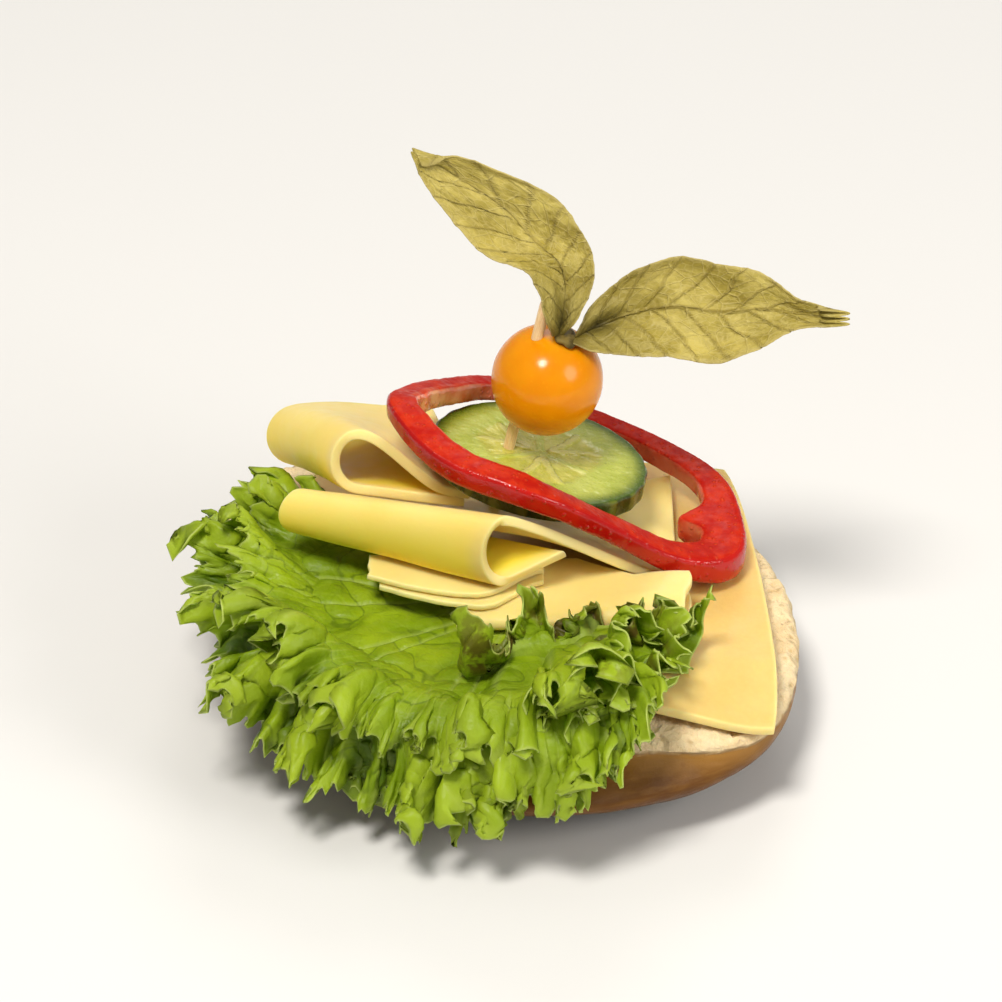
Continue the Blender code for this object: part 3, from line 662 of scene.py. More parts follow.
def build_cheese():
    look = cheese_look("cheese")
    # flat slice on the roll
    u = edge_steps(84, 78, 0.7)
    v = edge_steps(84, 76, 0.7)
    U, V = np.meshgrid(u, v, indexing="ij")
    u2, v2 = 2 * U - 1, 2 * V - 1
    pull = 1.0 - 0.035 * (np.abs(u2) * np.abs(v2)) ** 6
    a, b = (u2 * pull + 1) / 2, (v2 * pull + 1) / 2
    x = mix(mix(SLICE_LEFT[1], SLICE_LEFT[0], b), mix(SLICE_RIGHT[1], SLICE_RIGHT[0], b), a)
    x = x + 1.2 * np.sin(b * math.pi) * a
    y = mix(SLICE_FRONT, SLICE_BACK, b) + 5.0 * (1 - a) * b + 9.0 * (1 - a) * (1 - b)
    fall = smooth((-20.0 - y) / 16.0) * smooth((x - 14.0) / 34.0)
    z = SLICE_Z - 5.2 * fall - 0.8 * smooth((np.hypot(x, y - 4) - 50) / 10.0) * (1 - fall)
    P = np.stack([x, y, z], -1)
    P[..., 2] += 0.18 * noise(x / 14, y / 14, 0, 5) * smooth((np.hypot(x, y - 4) - 30) / 15)
    # painted shade: the flat slice gets a darker copy of the cheese colours, the same cheese drawn darker
    thick_sheet("cheese_flat", P, CHEESE_T, 0.5, "cheese_base",
                cheese_look("cheese_flat_slice_shaded", (0.71, 0.480, 0.150), (0.76, 0.530, 0.185)))

    v = edge_steps(44, 34, 0.7)
    u = edge_steps(130, 70, 0.7)
    near = lay((-25.2, 4.0, 42.4), 0.0, fold(u, 18.0, -0.16, 4.3, 11.7, 19.0, 1.9, -0.16, 15.5))
    far = lay((-37.6, 32.0, 29.4), 0.12, fold(u, 22.0, 0.30, 4.4, 11.0, 24.5, 6.9, 0.08, 27.0))
    P = ruled(near, far, v)
    P[..., 2] += 0.5 * np.sin(v * math.pi)[None, :]
    P = sway(relax(P, 12), 0.22, 11, 7)
    thick_sheet("cheese_fold_back", P, CHEESE_T, 0.5, "cheese_back", look, painted_fold_glow(P, u, v))

    v = edge_steps(48, 42, 0.7)
    u = edge_steps(140, 85, 0.7)
    near = lay((0.2, -11.6, 33.9), 0.30, fold(u, 10.5, 0.36, 4.1, 13.2, 31.0, 13.9, -0.70, 8.0, -7.2))
    far = lay((-36.0, 4.8, 33.8), 0.36, fold(u, 13.0, -0.10, 3.6, 7.7, 70.0, 2.3, -0.17, 12.0, -6.6))
    P = ruled(near, far, v)
    P = sway(relax(P, 12), 0.2, 12, 8)
    thick_sheet("cheese_fold_mid", P, CHEESE_T, 0.5, "cheese_mid", look, painted_fold_glow(P, u, v))

    u = edge_steps(84, 24, 0.7)
    v = edge_steps(70, 40, 0.7)
    U, V = np.meshgrid(u, v, indexing="ij")
    k = smooth((V - 0.42) / 0.53)
    high = mix(2.0, 5.0, k)
    upper = np.maximum(6.0, 13.4 - 0.74 * np.maximum(0.0, mix(-8.0, 31.4, V) - 12.0))
    sx, sz = fold(U, 8.5, 0.0, mix(3.4, 3.9, k), high, upper, high, 0.02, 3.0)
    P = np.stack([mix(-8.0, 31.4, V) + 0.7 * np.sin(U * 9.0), mix(-12.2, -12.6, V) + sx, 26.9 + sz], -1)
    P = sway(relax(P, 8), 0.15, 9, 9)
    thick_sheet("cheese_fold_front", P, CHEESE_T, 0.5, "cheese_front", look)

    for name, tip, nose, z0, seed in (("cheese_slip_top", -23.8, -7.6, 32.0, 61),
                                      ("cheese_slip_low", -22.0, -9.0, 30.65, 62)):
        u = edge_steps(64, 30, 0.4)
        v = edge_steps(32, 12, 0.4)
        U, V = np.meshgrid(u, v, indexing="ij")
        x = mix(tip, 6.5, U) + wobble_edge(V, 3.0, seed, 0.5) * (1 - U)
        front = nose - 7.0 * np.sin(np.minimum(U * 1.35, 1.0) * math.pi / 2) + 2.0 * U
        front = front + 6.5 * smooth((U - 0.58) / 0.42) ** 1.4
        front = front + wobble_edge(U, 5.0, seed + 3, 0.35)
        y = mix(front, -1.5, V)
        z = z0 - 0.2 * (1 - V) * U * (1 - U)
        thick_sheet(name + "_fine", np.stack([x, y, z], -1), SLIP_T, 0.35, name, look)


# ------------------------------------------------------------------------- lettuce
def leaf_surface(rootx, rooty, angle, s, bend_at, droop, rise):
    """Base surface of a leaf: level, over a bend, then down; s is the distance from the root."""
    ds = np.diff(s, axis=1, prepend=0.0)
    k = smooth((s - bend_at + 6.0) / 14.0)
    a = mix(rise, -droop, k)
    r = np.cumsum(ds * np.cos(a), 1)
    z = np.cumsum(ds * np.sin(a), 1)
    return np.stack([rootx + r * np.cos(angle), rooty + r * np.sin(angle), z], -1)


def teeth(s, pitch, seed, power=1.7):
    """Pointed teeth along an edge, with round bays between them."""
    q = s / pitch + 0.62 * noise(s / (pitch * 1.9), 0.5, 0.5, seed)
    f = np.abs(2 * (q - np.floor(q)) - 1)
    tall = 0.55 + 0.45 * noise(np.floor(q) * 0.77 + 0.31, 0.4, 0.2, seed + 1)
    return f ** power * (0.45 + 1.15 * tall)


def frill(P, s, w, seed, size=1.0, starts=(0.42, 0.62, 0.84), over=0.0):
    """Ruffles of three sizes that grow to the edge and curl over themselves."""
    N = grid_normals(P)
    N = N * np.where(N[..., 2:3].mean() < 0, -1, 1)
    T = unit(np.gradient(P, axis=0))
    R = unit(np.gradient(P, axis=1))
    g1, g2, g3 = (smooth((w - q) / (1.02 - q)) ** e * size for q, e in zip(starts, (1.3, 1.7, 1.7)))
    p1 = 2 * math.pi * (s / 19.0 + 0.50 * noise(s / 18.0, w * 0.8, 0.5, seed))
    p2 = 2 * math.pi * (s / 7.6 + 0.66 * noise(s / 8.5, w * 1.0, 3.5, seed + 1))
    p3 = 2 * math.pi * (s / 3.0 + 0.70 * noise(s / 3.6, w * 1.6, 6.5, seed + 2))
    m1 = 1.0 + 0.7 * noise(s / 21.0, 0.3, 9.5, seed + 3)
    m2 = 1.0 + 0.9 * noise(s / 9.0, 0.6, 9.5, seed + 4)
    c1 = 0.55 * np.sin(p1) + 0.60 * (0.62 - np.abs(np.cos(p1 / 2 + 0.25 * math.pi)) ** 0.8)
    c2 = 0.40 * np.sin(p2) + 0.80 * (0.62 - np.abs(np.cos(p2 / 2 + 0.25 * math.pi)) ** 0.8)
    up = 3.3 * g1 * m1 * (c1 + over) + 3.1 * g2 * m2 * (c2 + 0.4 * over) + 1.25 * g3 * np.sin(p3)
    along = -(0.9 * g1 * m1 * np.sin(2 * p1) + 0.42 * g2 * m2 * np.sin(2 * p2))
    out = -(1.0 * g1 * (0.5 - 0.5 * np.cos(2 * p1)) + 1.1 * g2 * m2 * (0.5 - 0.5 * np.cos(2 * p2)))
    return P + N * up[..., None] + T * along[..., None] + R * out[..., None], up


def hold_clear(P, gap):
    """Move points that dip into the roll or the flat slice out of it, by the nearer way."""
    for _ in range(4):
        dx, dy = P[..., 0] - ROLL_MID[0], P[..., 1] - ROLL_MID[1]
        theta = np.arctan2(dy, dx)
        r = np.hypot(dx, dy)
        rim = ROLL_RIM
        low = np.clip((rim - P[..., 2]) / rim, 0, 1)
        edge = oval(theta) * (1 - 0.30 * low ** 2.2) + gap
        on_slice = smooth((P[..., 1] - SLICE_FRONT + 1.5) / 1.5)
        top = mix(roll_face(P[..., 0], P[..., 1]), SLICE_Z + 0.9, on_slice) + gap
        po, pu = np.clip(edge - r, 0, None), np.clip(top - P[..., 2], 0, None)
        both = (po > 0) & (pu > 0)
        k = pu ** 2 / np.maximum(pu ** 2 + po ** 2, 1e-9)
        grow = np.where(both, 1 + k * po / np.maximum(r, 1e-6), 1.0)
        P[..., 0] = ROLL_MID[0] + dx * grow
        P[..., 1] = ROLL_MID[1] + dy * grow
        P[..., 2] = P[..., 2] + np.where(both, (1 - k) * pu, 0.0)
    return P


FRONT_SOFT, FRONT_ROOM = -53.4, 2.9     # the frill's front stays near this line


def leaf_sheet(name, node, look, nu, nv, root, angles, reach, bend, droop, rise, z0, seed,
               w_in=0.10, size=1.0, starts=(0.42, 0.62, 0.84), over=0.0, climb=0.0, spans=(0.0, 1.0),
               tooth=1.0, gap=0.35, spots=(), holes=(), sink=0.0, inner_share=1.0, length=1.0, tuck=0.0):
    """One sheet of lettuce; u runs round the root between two angles, w outward."""
    u01 = np.linspace(0, 1, nu)[:, None]
    u = mix(spans[0], spans[1], u01)
    v = np.linspace(0, 1, nv)[None, :]
    w = w_in + (1 - w_in) * (1 - (1 - v) ** 1.35) + 0 * u
    far = spline(reach, u[:, 0])[:, 0][:, None] * inner_share
    s_edge = np.cumsum(np.concatenate([[[0.0]], (far[1:] * abs(math.radians(angles[1] - angles[0]))
                                               * np.diff(u, axis=0))]), 0) * length
    far = far + 1.9 * noise(s_edge / 9.0, 0.2, 0.9, seed + 20) + 1.2 * noise(s_edge / 4.0, 0.2, 0.9, seed + 21)
    bend_at = spline(bend, u[:, 0])[:, 0][:, None]
    down = np.radians(spline(droop, u[:, 0])[:, 0][:, None])
    t1, t2, t3 = teeth(s_edge, 1.45, seed + 30, 2.0), teeth(s_edge, 3.6, seed + 32, 1.8), teeth(s_edge, 8.5, seed + 34, 1.2)
    near = smooth((w - 0.91) / 0.09)
    grow = tooth * (near * 2.0 * t1 * (0.5 + 0.5 * t2) + smooth((w - 0.82) / 0.18) * 2.1 * t2
                    + smooth((w - 0.60) / 0.40) * 2.2 * t3 - smooth((w - 0.6) / 0.4) * 3.6)
    ang = np.radians(mix(angles[0], angles[1], u)) + 0.05 * noise(s_edge / 14.0, w * 2.0, 0.3, seed + 22) * w
    P = leaf_surface(root[0] + root[2] * u, root[1] + root[3] * u, ang, far * w + grow, bend_at, down, rise)
    P[..., 2] += z0
    N = grid_normals(P)
    N = N * np.where(N[..., 2:3].mean() < 0, -1, 1)
    main = np.zeros_like(w)                 # ribs that fan out from the root
    ribs = max(3, int(abs(angles[1] - angles[0]) / 17))
    for k in range(ribs):
        at = (k + 0.5) / ribs + 0.05 * math.sin(seed + 3.0 * k)
        line = u - at - 0.035 * noise(w * 3.0, float(k), 0.1, seed + 40)
        wide = (0.9 - 0.6 * w) / np.maximum(far * w, 4.0) / abs(math.radians(angles[1] - angles[0]))
        main = np.maximum(main, np.clip(1 - np.abs(line) / wide, 0, 1) * smooth((1.0 - w) / 0.4))
    blade = smooth((w - 0.10) / 0.25)
    wave = noise(P[..., 0] / 17, P[..., 1] / 17, 0.0, seed + 43)
    fx, fy = root[2] * u + far * w * np.cos(ang), root[3] * u + far * w * np.sin(ang)
    puff = noise(fx / 7.0, fy / 7.0, 0.2, seed + 41) + 0.25 * noise(fx / 3.0, fy / 3.0, 0.7, seed + 44)
    puff2 = noise(fx / 3.1, fy / 3.1, 0.4, seed + 42)
    lift = blade * (1.1 * wave + 0.95 * np.minimum(np.abs(puff), 0.5) + 0.20 * np.minimum(np.abs(puff2), 0.5)
                    - 0.30 * main) + 0.2 * blade
    k_in = smooth((w - w_in) / 0.25)
    P = P + N * lift[..., None]
    P[..., 2] += climb * smooth((w - w_in) / (1 - w_in)) - sink * (1 - k_in)
    if tuck:
        near_side = u01 if tuck < 0 else np.minimum(u01, 1 - u01)
        P[..., 2] -= abs(tuck) * (1 - smooth(near_side / 0.16)) * (1 - smooth((w - 0.72) / 0.25))
    P, up = frill(P, s_edge + 0 * w, w, seed, size, starts, over)
    turned = np.clip(0.40 + 1.3 * noise(s_edge / 4.4, 0.3, 0.7, seed + 51), 0, 1)     # ends that turn outward
    P = P + N * (3.6 * size * turned * smooth((w - 0.88) / 0.12) ** 1.3)[..., None]
    over_front = np.maximum(FRONT_SOFT - P[..., 1], 0.0)
    P[..., 1] = np.maximum(P[..., 1], FRONT_SOFT) - FRONT_ROOM * np.tanh(over_front / FRONT_ROOM)
    curl = noise(s_edge / 6.0, 0.0, 0.0, seed + 50)
    P[..., 2] += smooth((w - 0.80) / 0.20) ** 1.5 * (0.3 + 2.6 * curl) * size
    P = hold_clear(P, gap)
    P[..., 2] = np.maximum(P[..., 2], 0.4)
    edge = smooth((w - 0.93) / 0.07)
    spot, hole = np.zeros_like(w), np.zeros_like(w)
    for store, rows in ((spot, spots), (hole, holes)):
        for bu, bw, br in rows:
            d2 = ((u - bu) * far * abs(math.radians(angles[1] - angles[0]))) ** 2 + ((w - bw) * far * 1.6) ** 2
            np.maximum(store, np.exp(-d2 / br ** 2), out=store)
    shade = np.clip(0.5 - 0.5 * puff - 0.3 * wave, 0, 1) * blade
    q = (s_edge + 0 * w) / 2.3 + 0.35 * noise(s_edge / 3.0, w * 5.0, 0.2, seed + 60)
    fan = smooth((np.abs(2 * (q - np.floor(q)) - 1) - 0.80) / 0.20) * smooth((w - 0.5) / 0.3)
    along = np.stack([fx, fy, 0 * w + seed], -1)
    # shade, net_a, net_b and fold also carry painted shade in hollows, creases and ruffle valleys, and painted light on
    # ruffle crests
    attrs = {"vein": main, "edge": edge, "shade": shade, "brown": spot, "hole": hole, "map": along, "net_a": puff, "net_b": puff2,
             "fold": np.clip(0.5 + up / 6.0, 0, 1) + 0 * w, "fan": fan}
    return thick_sheet(name, P, 0.34, 0.20, node, look, attrs, 2.0, 0.70)


LEFT = dict(root=(LEAF_ROOT[0], LEAF_ROOT[1], 0.0, 0.0), angles=(140.0, 269.0),
            reach=(47, 60.0, 58.0, 57.5, 58.0, 57, 56.0, 55.0), bend=(62, 60, 54, 47, 41, 38, 37, 37),
            droop=(10, 12, 18, 44, 64, 71, 73, 73), rise=0.02)
RIGHT = dict(root=(6.0, -17.2, 6.5, 0.0), angles=(266.0, 338.0),
             reach=(43, 44, 40, 31, 27, 25, 23), bend=(27, 28, 28, 26, 25, 24, 22),
             droop=(78, 80, 74, 38, 15, 5, -5), rise=0.10)


def build_lettuce():
    look = leaf_look("lettuce")
    leaf_sheet("leaf_left", "lettuce_left", look, 640, 68, z0=LEAF_Z, seed=100, over=0.12,
               holes=((0.47, 0.74, 1.7), (0.322, 0.85, 1.2)), spots=((0.322, 0.85, 2.4), (0.47, 0.74, 2.2)), **LEFT)
    leaf_sheet("leaf_left_row_a", "lettuce_left", look, 330, 30, z0=LEAF_Z, seed=117, w_in=0.50,
               inner_share=0.82, spans=(0.46, 1.0), climb=3.2, over=0.45, size=0.95,
               starts=(0.60, 0.70, 0.86), sink=1.6, tuck=2.0, **LEFT)
    leaf_sheet("leaf_left_row_b", "lettuce_left", look, 250, 26, z0=LEAF_Z, seed=131, w_in=0.58,
               inner_share=0.88, spans=(0.04, 0.44), climb=3.0, over=0.45, size=0.85,
               starts=(0.66, 0.74, 0.88), sink=1.4, tuck=2.0, **LEFT)
    seam = dict(RIGHT, angles=(252.0, 300.0), root=(1.0, -17.0, 8.0, 0.0),
                reach=(41.5, 43, 44, 42.5, 40, 37.5, 34), bend=(25, 26, 27, 27, 27, 26, 25),
                droop=(76, 78, 80, 78, 70, 52, 40))
    leaf_sheet("leaf_left_front", "lettuce_left", look, 210, 54, z0=27.4, seed=143, w_in=0.08,
               over=0.25, size=0.95, starts=(0.40, 0.58, 0.84), tuck=3.2, **seam)
    leaf_sheet("leaf_left_front_row", "lettuce_left", look, 190, 26, z0=27.4, seed=157, w_in=0.42,
               inner_share=0.80, over=0.35, size=1.0, starts=(0.48, 0.60, 0.82), climb=3.0, sink=1.6,
               tuck=3.0, **seam)
    leaf_sheet("leaf_right", "lettuce_right", look, 300, 56, z0=29.3, seed=200, w_in=0.05, over=0.1,
               starts=(0.30, 0.50, 0.80), tuck=-3.6, spots=((0.60, 0.93, 2.2), (0.86, 0.90, 2.0)), **RIGHT)
    leaf_sheet("leaf_right_row_a", "lettuce_right", look, 240, 40, z0=29.2, seed=217, w_in=0.15,
               inner_share=0.70, climb=3.2, over=0.35, size=0.9, starts=(0.30, 0.48, 0.80), sink=1.6, tuck=3.6,
               spots=((0.30, 0.95, 1.8),), **RIGHT)
    under = dict(RIGHT, angles=(262.0, 336.0), root=(4.0, -18.0, 8.0, 0.0))
    leaf_sheet("leaf_right_under", "lettuce_right", look, 230, 42, z0=26.4, seed=229, w_in=0.06,
               inner_share=0.93, over=0.35, size=0.9, starts=(0.35, 0.52, 0.80), **under)
    back = dict(root=(-5.5, -27.8, 36.0, 2.4), angles=(106.0, 60.0), reach=(8, 5.5, 11.5, 6.0, 12.5, 7.0, 11.5, 9.0, 11.0),
                bend=(30,) * 9, droop=(0,) * 9, rise=0.66)
    leaf_sheet("leaf_right_crest", "lettuce_right", look, 300, 40, z0=27.6, seed=243, w_in=0.02, over=0.1,
               size=1.05, starts=(0.02, 0.20, 0.70), length=5.0, sink=3.4, tooth=0.75, tuck=3.0,
               spots=((0.36, 0.85, 1.8), (0.48, 0.9, 2.0), (0.66, 0.95, 1.4), (0.12, 0.9, 1.2)), **back)


# --------------------------------------------------------------------- pepper ring
RING = [(-17.6, 8.0, 58.0, 4.2, 5.4), (-9.6, -2.6, 55.2, 4.6, 5.4), (3.2, -8.4, 53.0, 4.6, 5.4),
        (11.6, -7.4, 48.0, 4.6, 5.4), (20.0, -4.6, 41.2, 4.6, 5.6), (29.5, -2.0, 34.4, 5.2, 6.2),
        (36.8, 2.6, 31.6, 6.2, 8.2), (38.0, 11.0, 31.9, 5.4, 7.4), (36.0, 22.0, 32.6, 4.0, 5.4),
        (27.0, 31.0, 33.8, 3.8, 4.6), (13.0, 36.2, 37.6, 3.8, 4.4), (-1.5, 35.4, 44.2, 3.8, 4.4),
        (-10.6, 26.0, 50.2, 4.2, 5.0), (-16.0, 17.5, 54.4, 4.4, 5.6)]


def build_ring():
    nt, na = 420, 56
    t = np.linspace(0, 1, nt, endpoint=False)
    a = np.linspace(0, 2 * math.pi, na, endpoint=False)[None, :]
    p = spline(RING, t, True)
    q = spline(RING, t + 0.004, True) - spline(RING, t - 0.004, True)
    side = unit(np.stack([q[:, 1], -q[:, 0], 0 * t], -1))
    cs, sn = np.cos(a), np.sin(a)
    wall = p[:, 4:5] * (1 + 0.05 * noise(t * 14, 0, 0, 1)[:, None])
    # outer skin is rounder than the inner wall
    power = np.where(cs > 0, 0.62, 0.42)
    w = wall / 2 * np.sign(cs) * np.abs(cs) ** power
    h = p[:, 3:4] / 2 * np.sign(sn) * np.abs(sn) ** 0.42
    rib = np.exp(-((t[:, None] - 0.503) / 0.017) ** 2) * np.clip(-2.5 * cs, 0, 1)
    w = w - 4.2 * rib
    P = np.stack([p[:, 0:1] + side[:, 0:1] * w, p[:, 1:2] + side[:, 1:2] * w,
                  p[:, 2:3] - p[:, 3:4] / 2 + h], -1)
    du = np.roll(P, -1, 0) - np.roll(P, 1, 0)
    dv = np.roll(P, -1, 1) - np.roll(P, 1, 1)
    N = unit(np.cross(du, dv))
    centre = np.stack([p[:, 0], p[:, 1], p[:, 2] - p[:, 3] / 2], -1)[:, None, :]
    N = N * np.sign((N * (P - centre)).sum(-1, keepdims=True))
    cut = smooth((np.abs(sn) - 0.62) / 0.16) + 0 * w
    inner = smooth((-cs - 0.2) / 0.3) * (1 - cut) + 0 * w
    d = (0.16 * noise(P[..., 0] / 2.2, P[..., 1] / 2.2, P[..., 2] / 2.2, 4)
         + 0.07 * noise(P[..., 0] / 0.8, P[..., 1] / 0.8, P[..., 2] / 0.8, 5)) * (0.4 + 0.6 * cut)
    d = d + inner * 0.35 * noise(P[..., 0] / 3.5, P[..., 1] / 3.5, P[..., 2] / 3.5, 6)
    P = P + N * d[..., None]
    index = np.arange(nt * na).reshape(nt, na)
    wrap = np.vstack([index, index[:1]])
    wrap = np.hstack([wrap, wrap[:, :1]])
    pale = bump_at((t[:, None] + 0.5) % 1.0, 0.42, 0.07) + 0 * w      # pale pulp at the back left
    pulp = np.clip(inner * (0.25 + 0.9 * pale) + cut * pale * 0.22 * (cs < -0.2), 0, 1)
    make("pepper_ring_fine", P.reshape(-1, 3), grid_faces(wrap), "pepper_ring", pepper_look(),
         {"cut": cut.ravel(), "inner": pulp.ravel()})


# ------------------------------------------------------------------------ cucumber
def build_cucumber():
    n_round, rings = 240, 56
    th = np.linspace(0, 2 * math.pi, n_round, endpoint=False)[:, None]
    # profile from the middle of the top, over the rim, to the middle underneath
    r_top = np.linspace(0.02, 1.0, rings) * (CUKE_R - 0.5)
    prof = [(r, 0.0) for r in r_top]
    for k in range(1, 7):
        a = k / 6 * math.pi / 2
        prof.append((CUKE_R - 0.5 + 0.5 * math.sin(a), -0.5 + 0.5 * math.cos(a)))
    for k in range(1, 9):
        prof.append((CUKE_R, -0.5 - (CUKE_T - 1.0) * k / 8))
    for k in range(1, 7):
        a = k / 6 * math.pi / 2
        prof.append((CUKE_R - 0.5 + 0.5 * math.cos(a), -CUKE_T + 0.5 - 0.5 * math.sin(a)))
    prof += [(r, -CUKE_T) for r in np.linspace(CUKE_R - 0.5, 0.4, 26)[1:]]
    prof = np.array(prof)
    R, H = prof[:, 0][None, :] + 0 * th, prof[:, 1][None, :] + 0 * th
    rad = R / CUKE_R
    X, Y = R * np.cos(th), R * np.sin(th)
    on_side = smooth((R - CUKE_R + 0.42) / 0.3)
    top = (H > -0.3) & (R < CUKE_R - 0.2)
    # seeds in three chambers, two rows each side of a chamber's middle
    seed = np.zeros_like(R)
    for c in range(3):
        mid = math.radians(30 + 120 * c)
        for row in (-1, 1):
            for i in range(4):
                ang = mid + row * (0.16 + 0.05 * i) + 0.05 * math.sin(7 * i + c)
                rr = CUKE_R * (0.17 + 0.115 * i)
                sx, sy = rr * math.cos(ang), rr * math.sin(ang)
                ex, ey = math.cos(ang + row * 0.35), math.sin(ang + row * 0.35)
                la = (X - sx) * ex + (Y - sy) * ey
                lb = -(X - sx) * ey + (Y - sy) * ex
                q = (la / 1.9) ** 2 + (lb / 0.75) ** 2
                seed = np.maximum(seed, smooth((1.25 - q) / 0.7))
    lobes = 0.60 + 0.05 * np.cos(3 * (th - math.radians(30))) + 0 * R
    gel = smooth((lobes + 0.03 * noise(X / 2.5, Y / 2.5, 0, 9) - rad) / 0.10)
    wall = np.zeros_like(R)
    for c in range(3):
        ang = math.radians(90 + 120 * c)
        d = np.abs(-X * math.sin(ang) + Y * math.cos(ang))
        ahead = X * math.cos(ang) + Y * math.sin(ang)
        wall = np.maximum(wall, smooth((0.9 - d) / 0.5) * (ahead > 0) * smooth((lobes - rad) / 0.1))
    gel = gel * (1 - 0.8 * wall)
    relief = np.where(top, 0.10 * noise(X / 2.2, Y / 2.2, 0, 8) + 0.12 * seed - 0.16 * gel * (1 - seed)
                      + 0.05 * noise(X / 0.7, Y / 0.7, 0, 12), 0)
    ribs = on_side * 0.12 * np.cos(th * 22 + 0.6 * np.sin(3 * th))
    X, Y = X * (1 + ribs / CUKE_R), Y * (1 + ribs / CUKE_R)
    H = H + relief
    skin = np.where(on_side > 0, on_side, 0)
    stripe = smooth((np.cos(th * 22 + 0.6 * np.sin(3 * th)) + 0.2 * noise(th * 9, H, 0, 13) - 0.35) / 0.4) + 0 * R
    P = np.stack([X, Y, H], -1).reshape(-1, 3)
    up = Vector(CUKE_UP).normalized()
    M = np.array(Vector((0, 0, 1)).rotation_difference(up).to_matrix())
    P = P @ M.T + np.array(CUKE_MID)
    n = R.shape[1]
    index = np.arange(n_round * n).reshape(n_round, n)
    wrap = np.vstack([index, index[:1]])
    faces = grid_faces(wrap).tolist()
    a0, b0 = n_round * n, n_round * n + 1
    ends = np.array([[0, 0, 0.0], [0, 0, -CUKE_T]]) @ M.T + np.array(CUKE_MID)
    for i in range(n_round):
        j = (i + 1) % n_round
        faces.append([a0, int(index[i, 0]), int(index[j, 0])])
        faces.append([b0, int(index[j, -1]), int(index[i, -1])])
    polar = np.stack([th / (2 * math.pi) + 0 * R, rad, 0 * R], -1).reshape(-1, 3)
    attrs = {k: np.concatenate([np.ravel(q), [e, e]]) for k, q, e in
             (("rad", rad, 0), ("seed", seed * (H > -1), 0), ("gel", gel, 1), ("skin", skin, 0), ("stripe", stripe, 0))}
    attrs["polar"] = np.vstack([polar, np.zeros((2, 3))])
    make("cucumber_fine", np.vstack([P, ends]), faces, "cucumber_slice", cuke_look(), attrs)


# --------------------------------------------------------------------------- berry
def build_berry():
    nu, nv = 128, 80
    th = np.linspace(0, 2 * math.pi, nu, endpoint=False)[:, None]
    ph = np.linspace(0.01, math.pi - 0.01, nv)[None, :]
    r = BERRY_R * (1.0 - 0.07 * np.exp(-(ph / 0.22) ** 2) + 0.012 * np.cos(2 * ph)) + 0 * th
    D = np.stack([np.sin(ph) * np.cos(th), np.sin(ph) * np.sin(th), np.cos(ph) + 0 * th], -1)
    r = r * (1 + 0.004 * noise(D[..., 0] * 2.5, D[..., 1] * 2.5, D[..., 2] * 2.5, 2))
    lean = Vector(BERRY_LEAN).normalized()
    M = np.array(Vector((0, 0, 1)).rotation_difference(lean).to_matrix())
    P = (D * r[..., None]).reshape(-1, 3) @ M.T + np.array(BERRY_MID)
    ends = np.array([[0, 0, float(r[0, 0])], [0, 0, -float(r[0, -1])]]) @ M.T + np.array(BERRY_MID)
    index = np.arange(nu * nv).reshape(nu, nv)
    faces = grid_faces(np.vstack([index, index[:1]])).tolist()
    for i in range(nu):
        j = (i + 1) % nu
        faces.append([nu * nv, int(index[i, 0]), int(index[j, 0])])
        faces.append([nu * nv + 1, int(index[j, -1]), int(index[i, -1])])
    pole = np.concatenate([((1 + np.cos(ph)) / 2 + 0 * th).ravel(), [1, 0]])
    stalk = np.concatenate([(np.exp(-(ph / 0.16) ** 2) + 0 * th).ravel(), [1, 0]])
    make("winter_cherry_fine", np.vstack([P, ends]), faces, "winter_cherry", berry_look(),
         {"pole": pole, "stalk": stalk})


# --------------------------------------------------------------------- husk leaves
# lower and upper edge of each leaf, from the berry to the tip
HUSK_LEFT_LOW = [(7.9, 11.9, 68.9), (6.7, 9.6, 74.1), (5.1, 10.8, 79.8), (2.5, 12.4, 82.6),
                 (-3.1, 15.0, 82.9), (-8.7, 17.5, 88.2), (-13.5, 19.3, 94.3), (-16.3, 20.4, 100.6)]
HUSK_LEFT_HIGH = [(9.8, 13.0, 68.5), (12.3, 13.0, 71.7), (14.7, 15.8, 76.5), (14.9, 17.6, 81.3),
                  (12.4, 19.0, 86.7), (7.3, 20.0, 92.7), (-4.5, 20.6, 98.5), (-15.8, 20.6, 101.7)]
HUSK_RIGHT_LOW = [(11.4, 11.6, 67.6), (15.8, 9.8, 66.9), (21.9, 8.6, 67.1), (28.4, 7.5, 67.5),
                  (35.9, 6.6, 66.8), (43.7, 6.6, 70.1), (50.1, 7.6, 73.3), (58.7, 8.4, 73.2)]
HUSK_RIGHT_HIGH = [(12.2, 13.4, 68.9), (15.6, 17.0, 73.3), (21.3, 17.6, 78.2), (29.1, 17.0, 81.9),
                   (36.6, 15.5, 81.4), (43.7, 13.5, 80.9), (50.2, 11.0, 77.2), (58.7, 9.4, 75.8)]


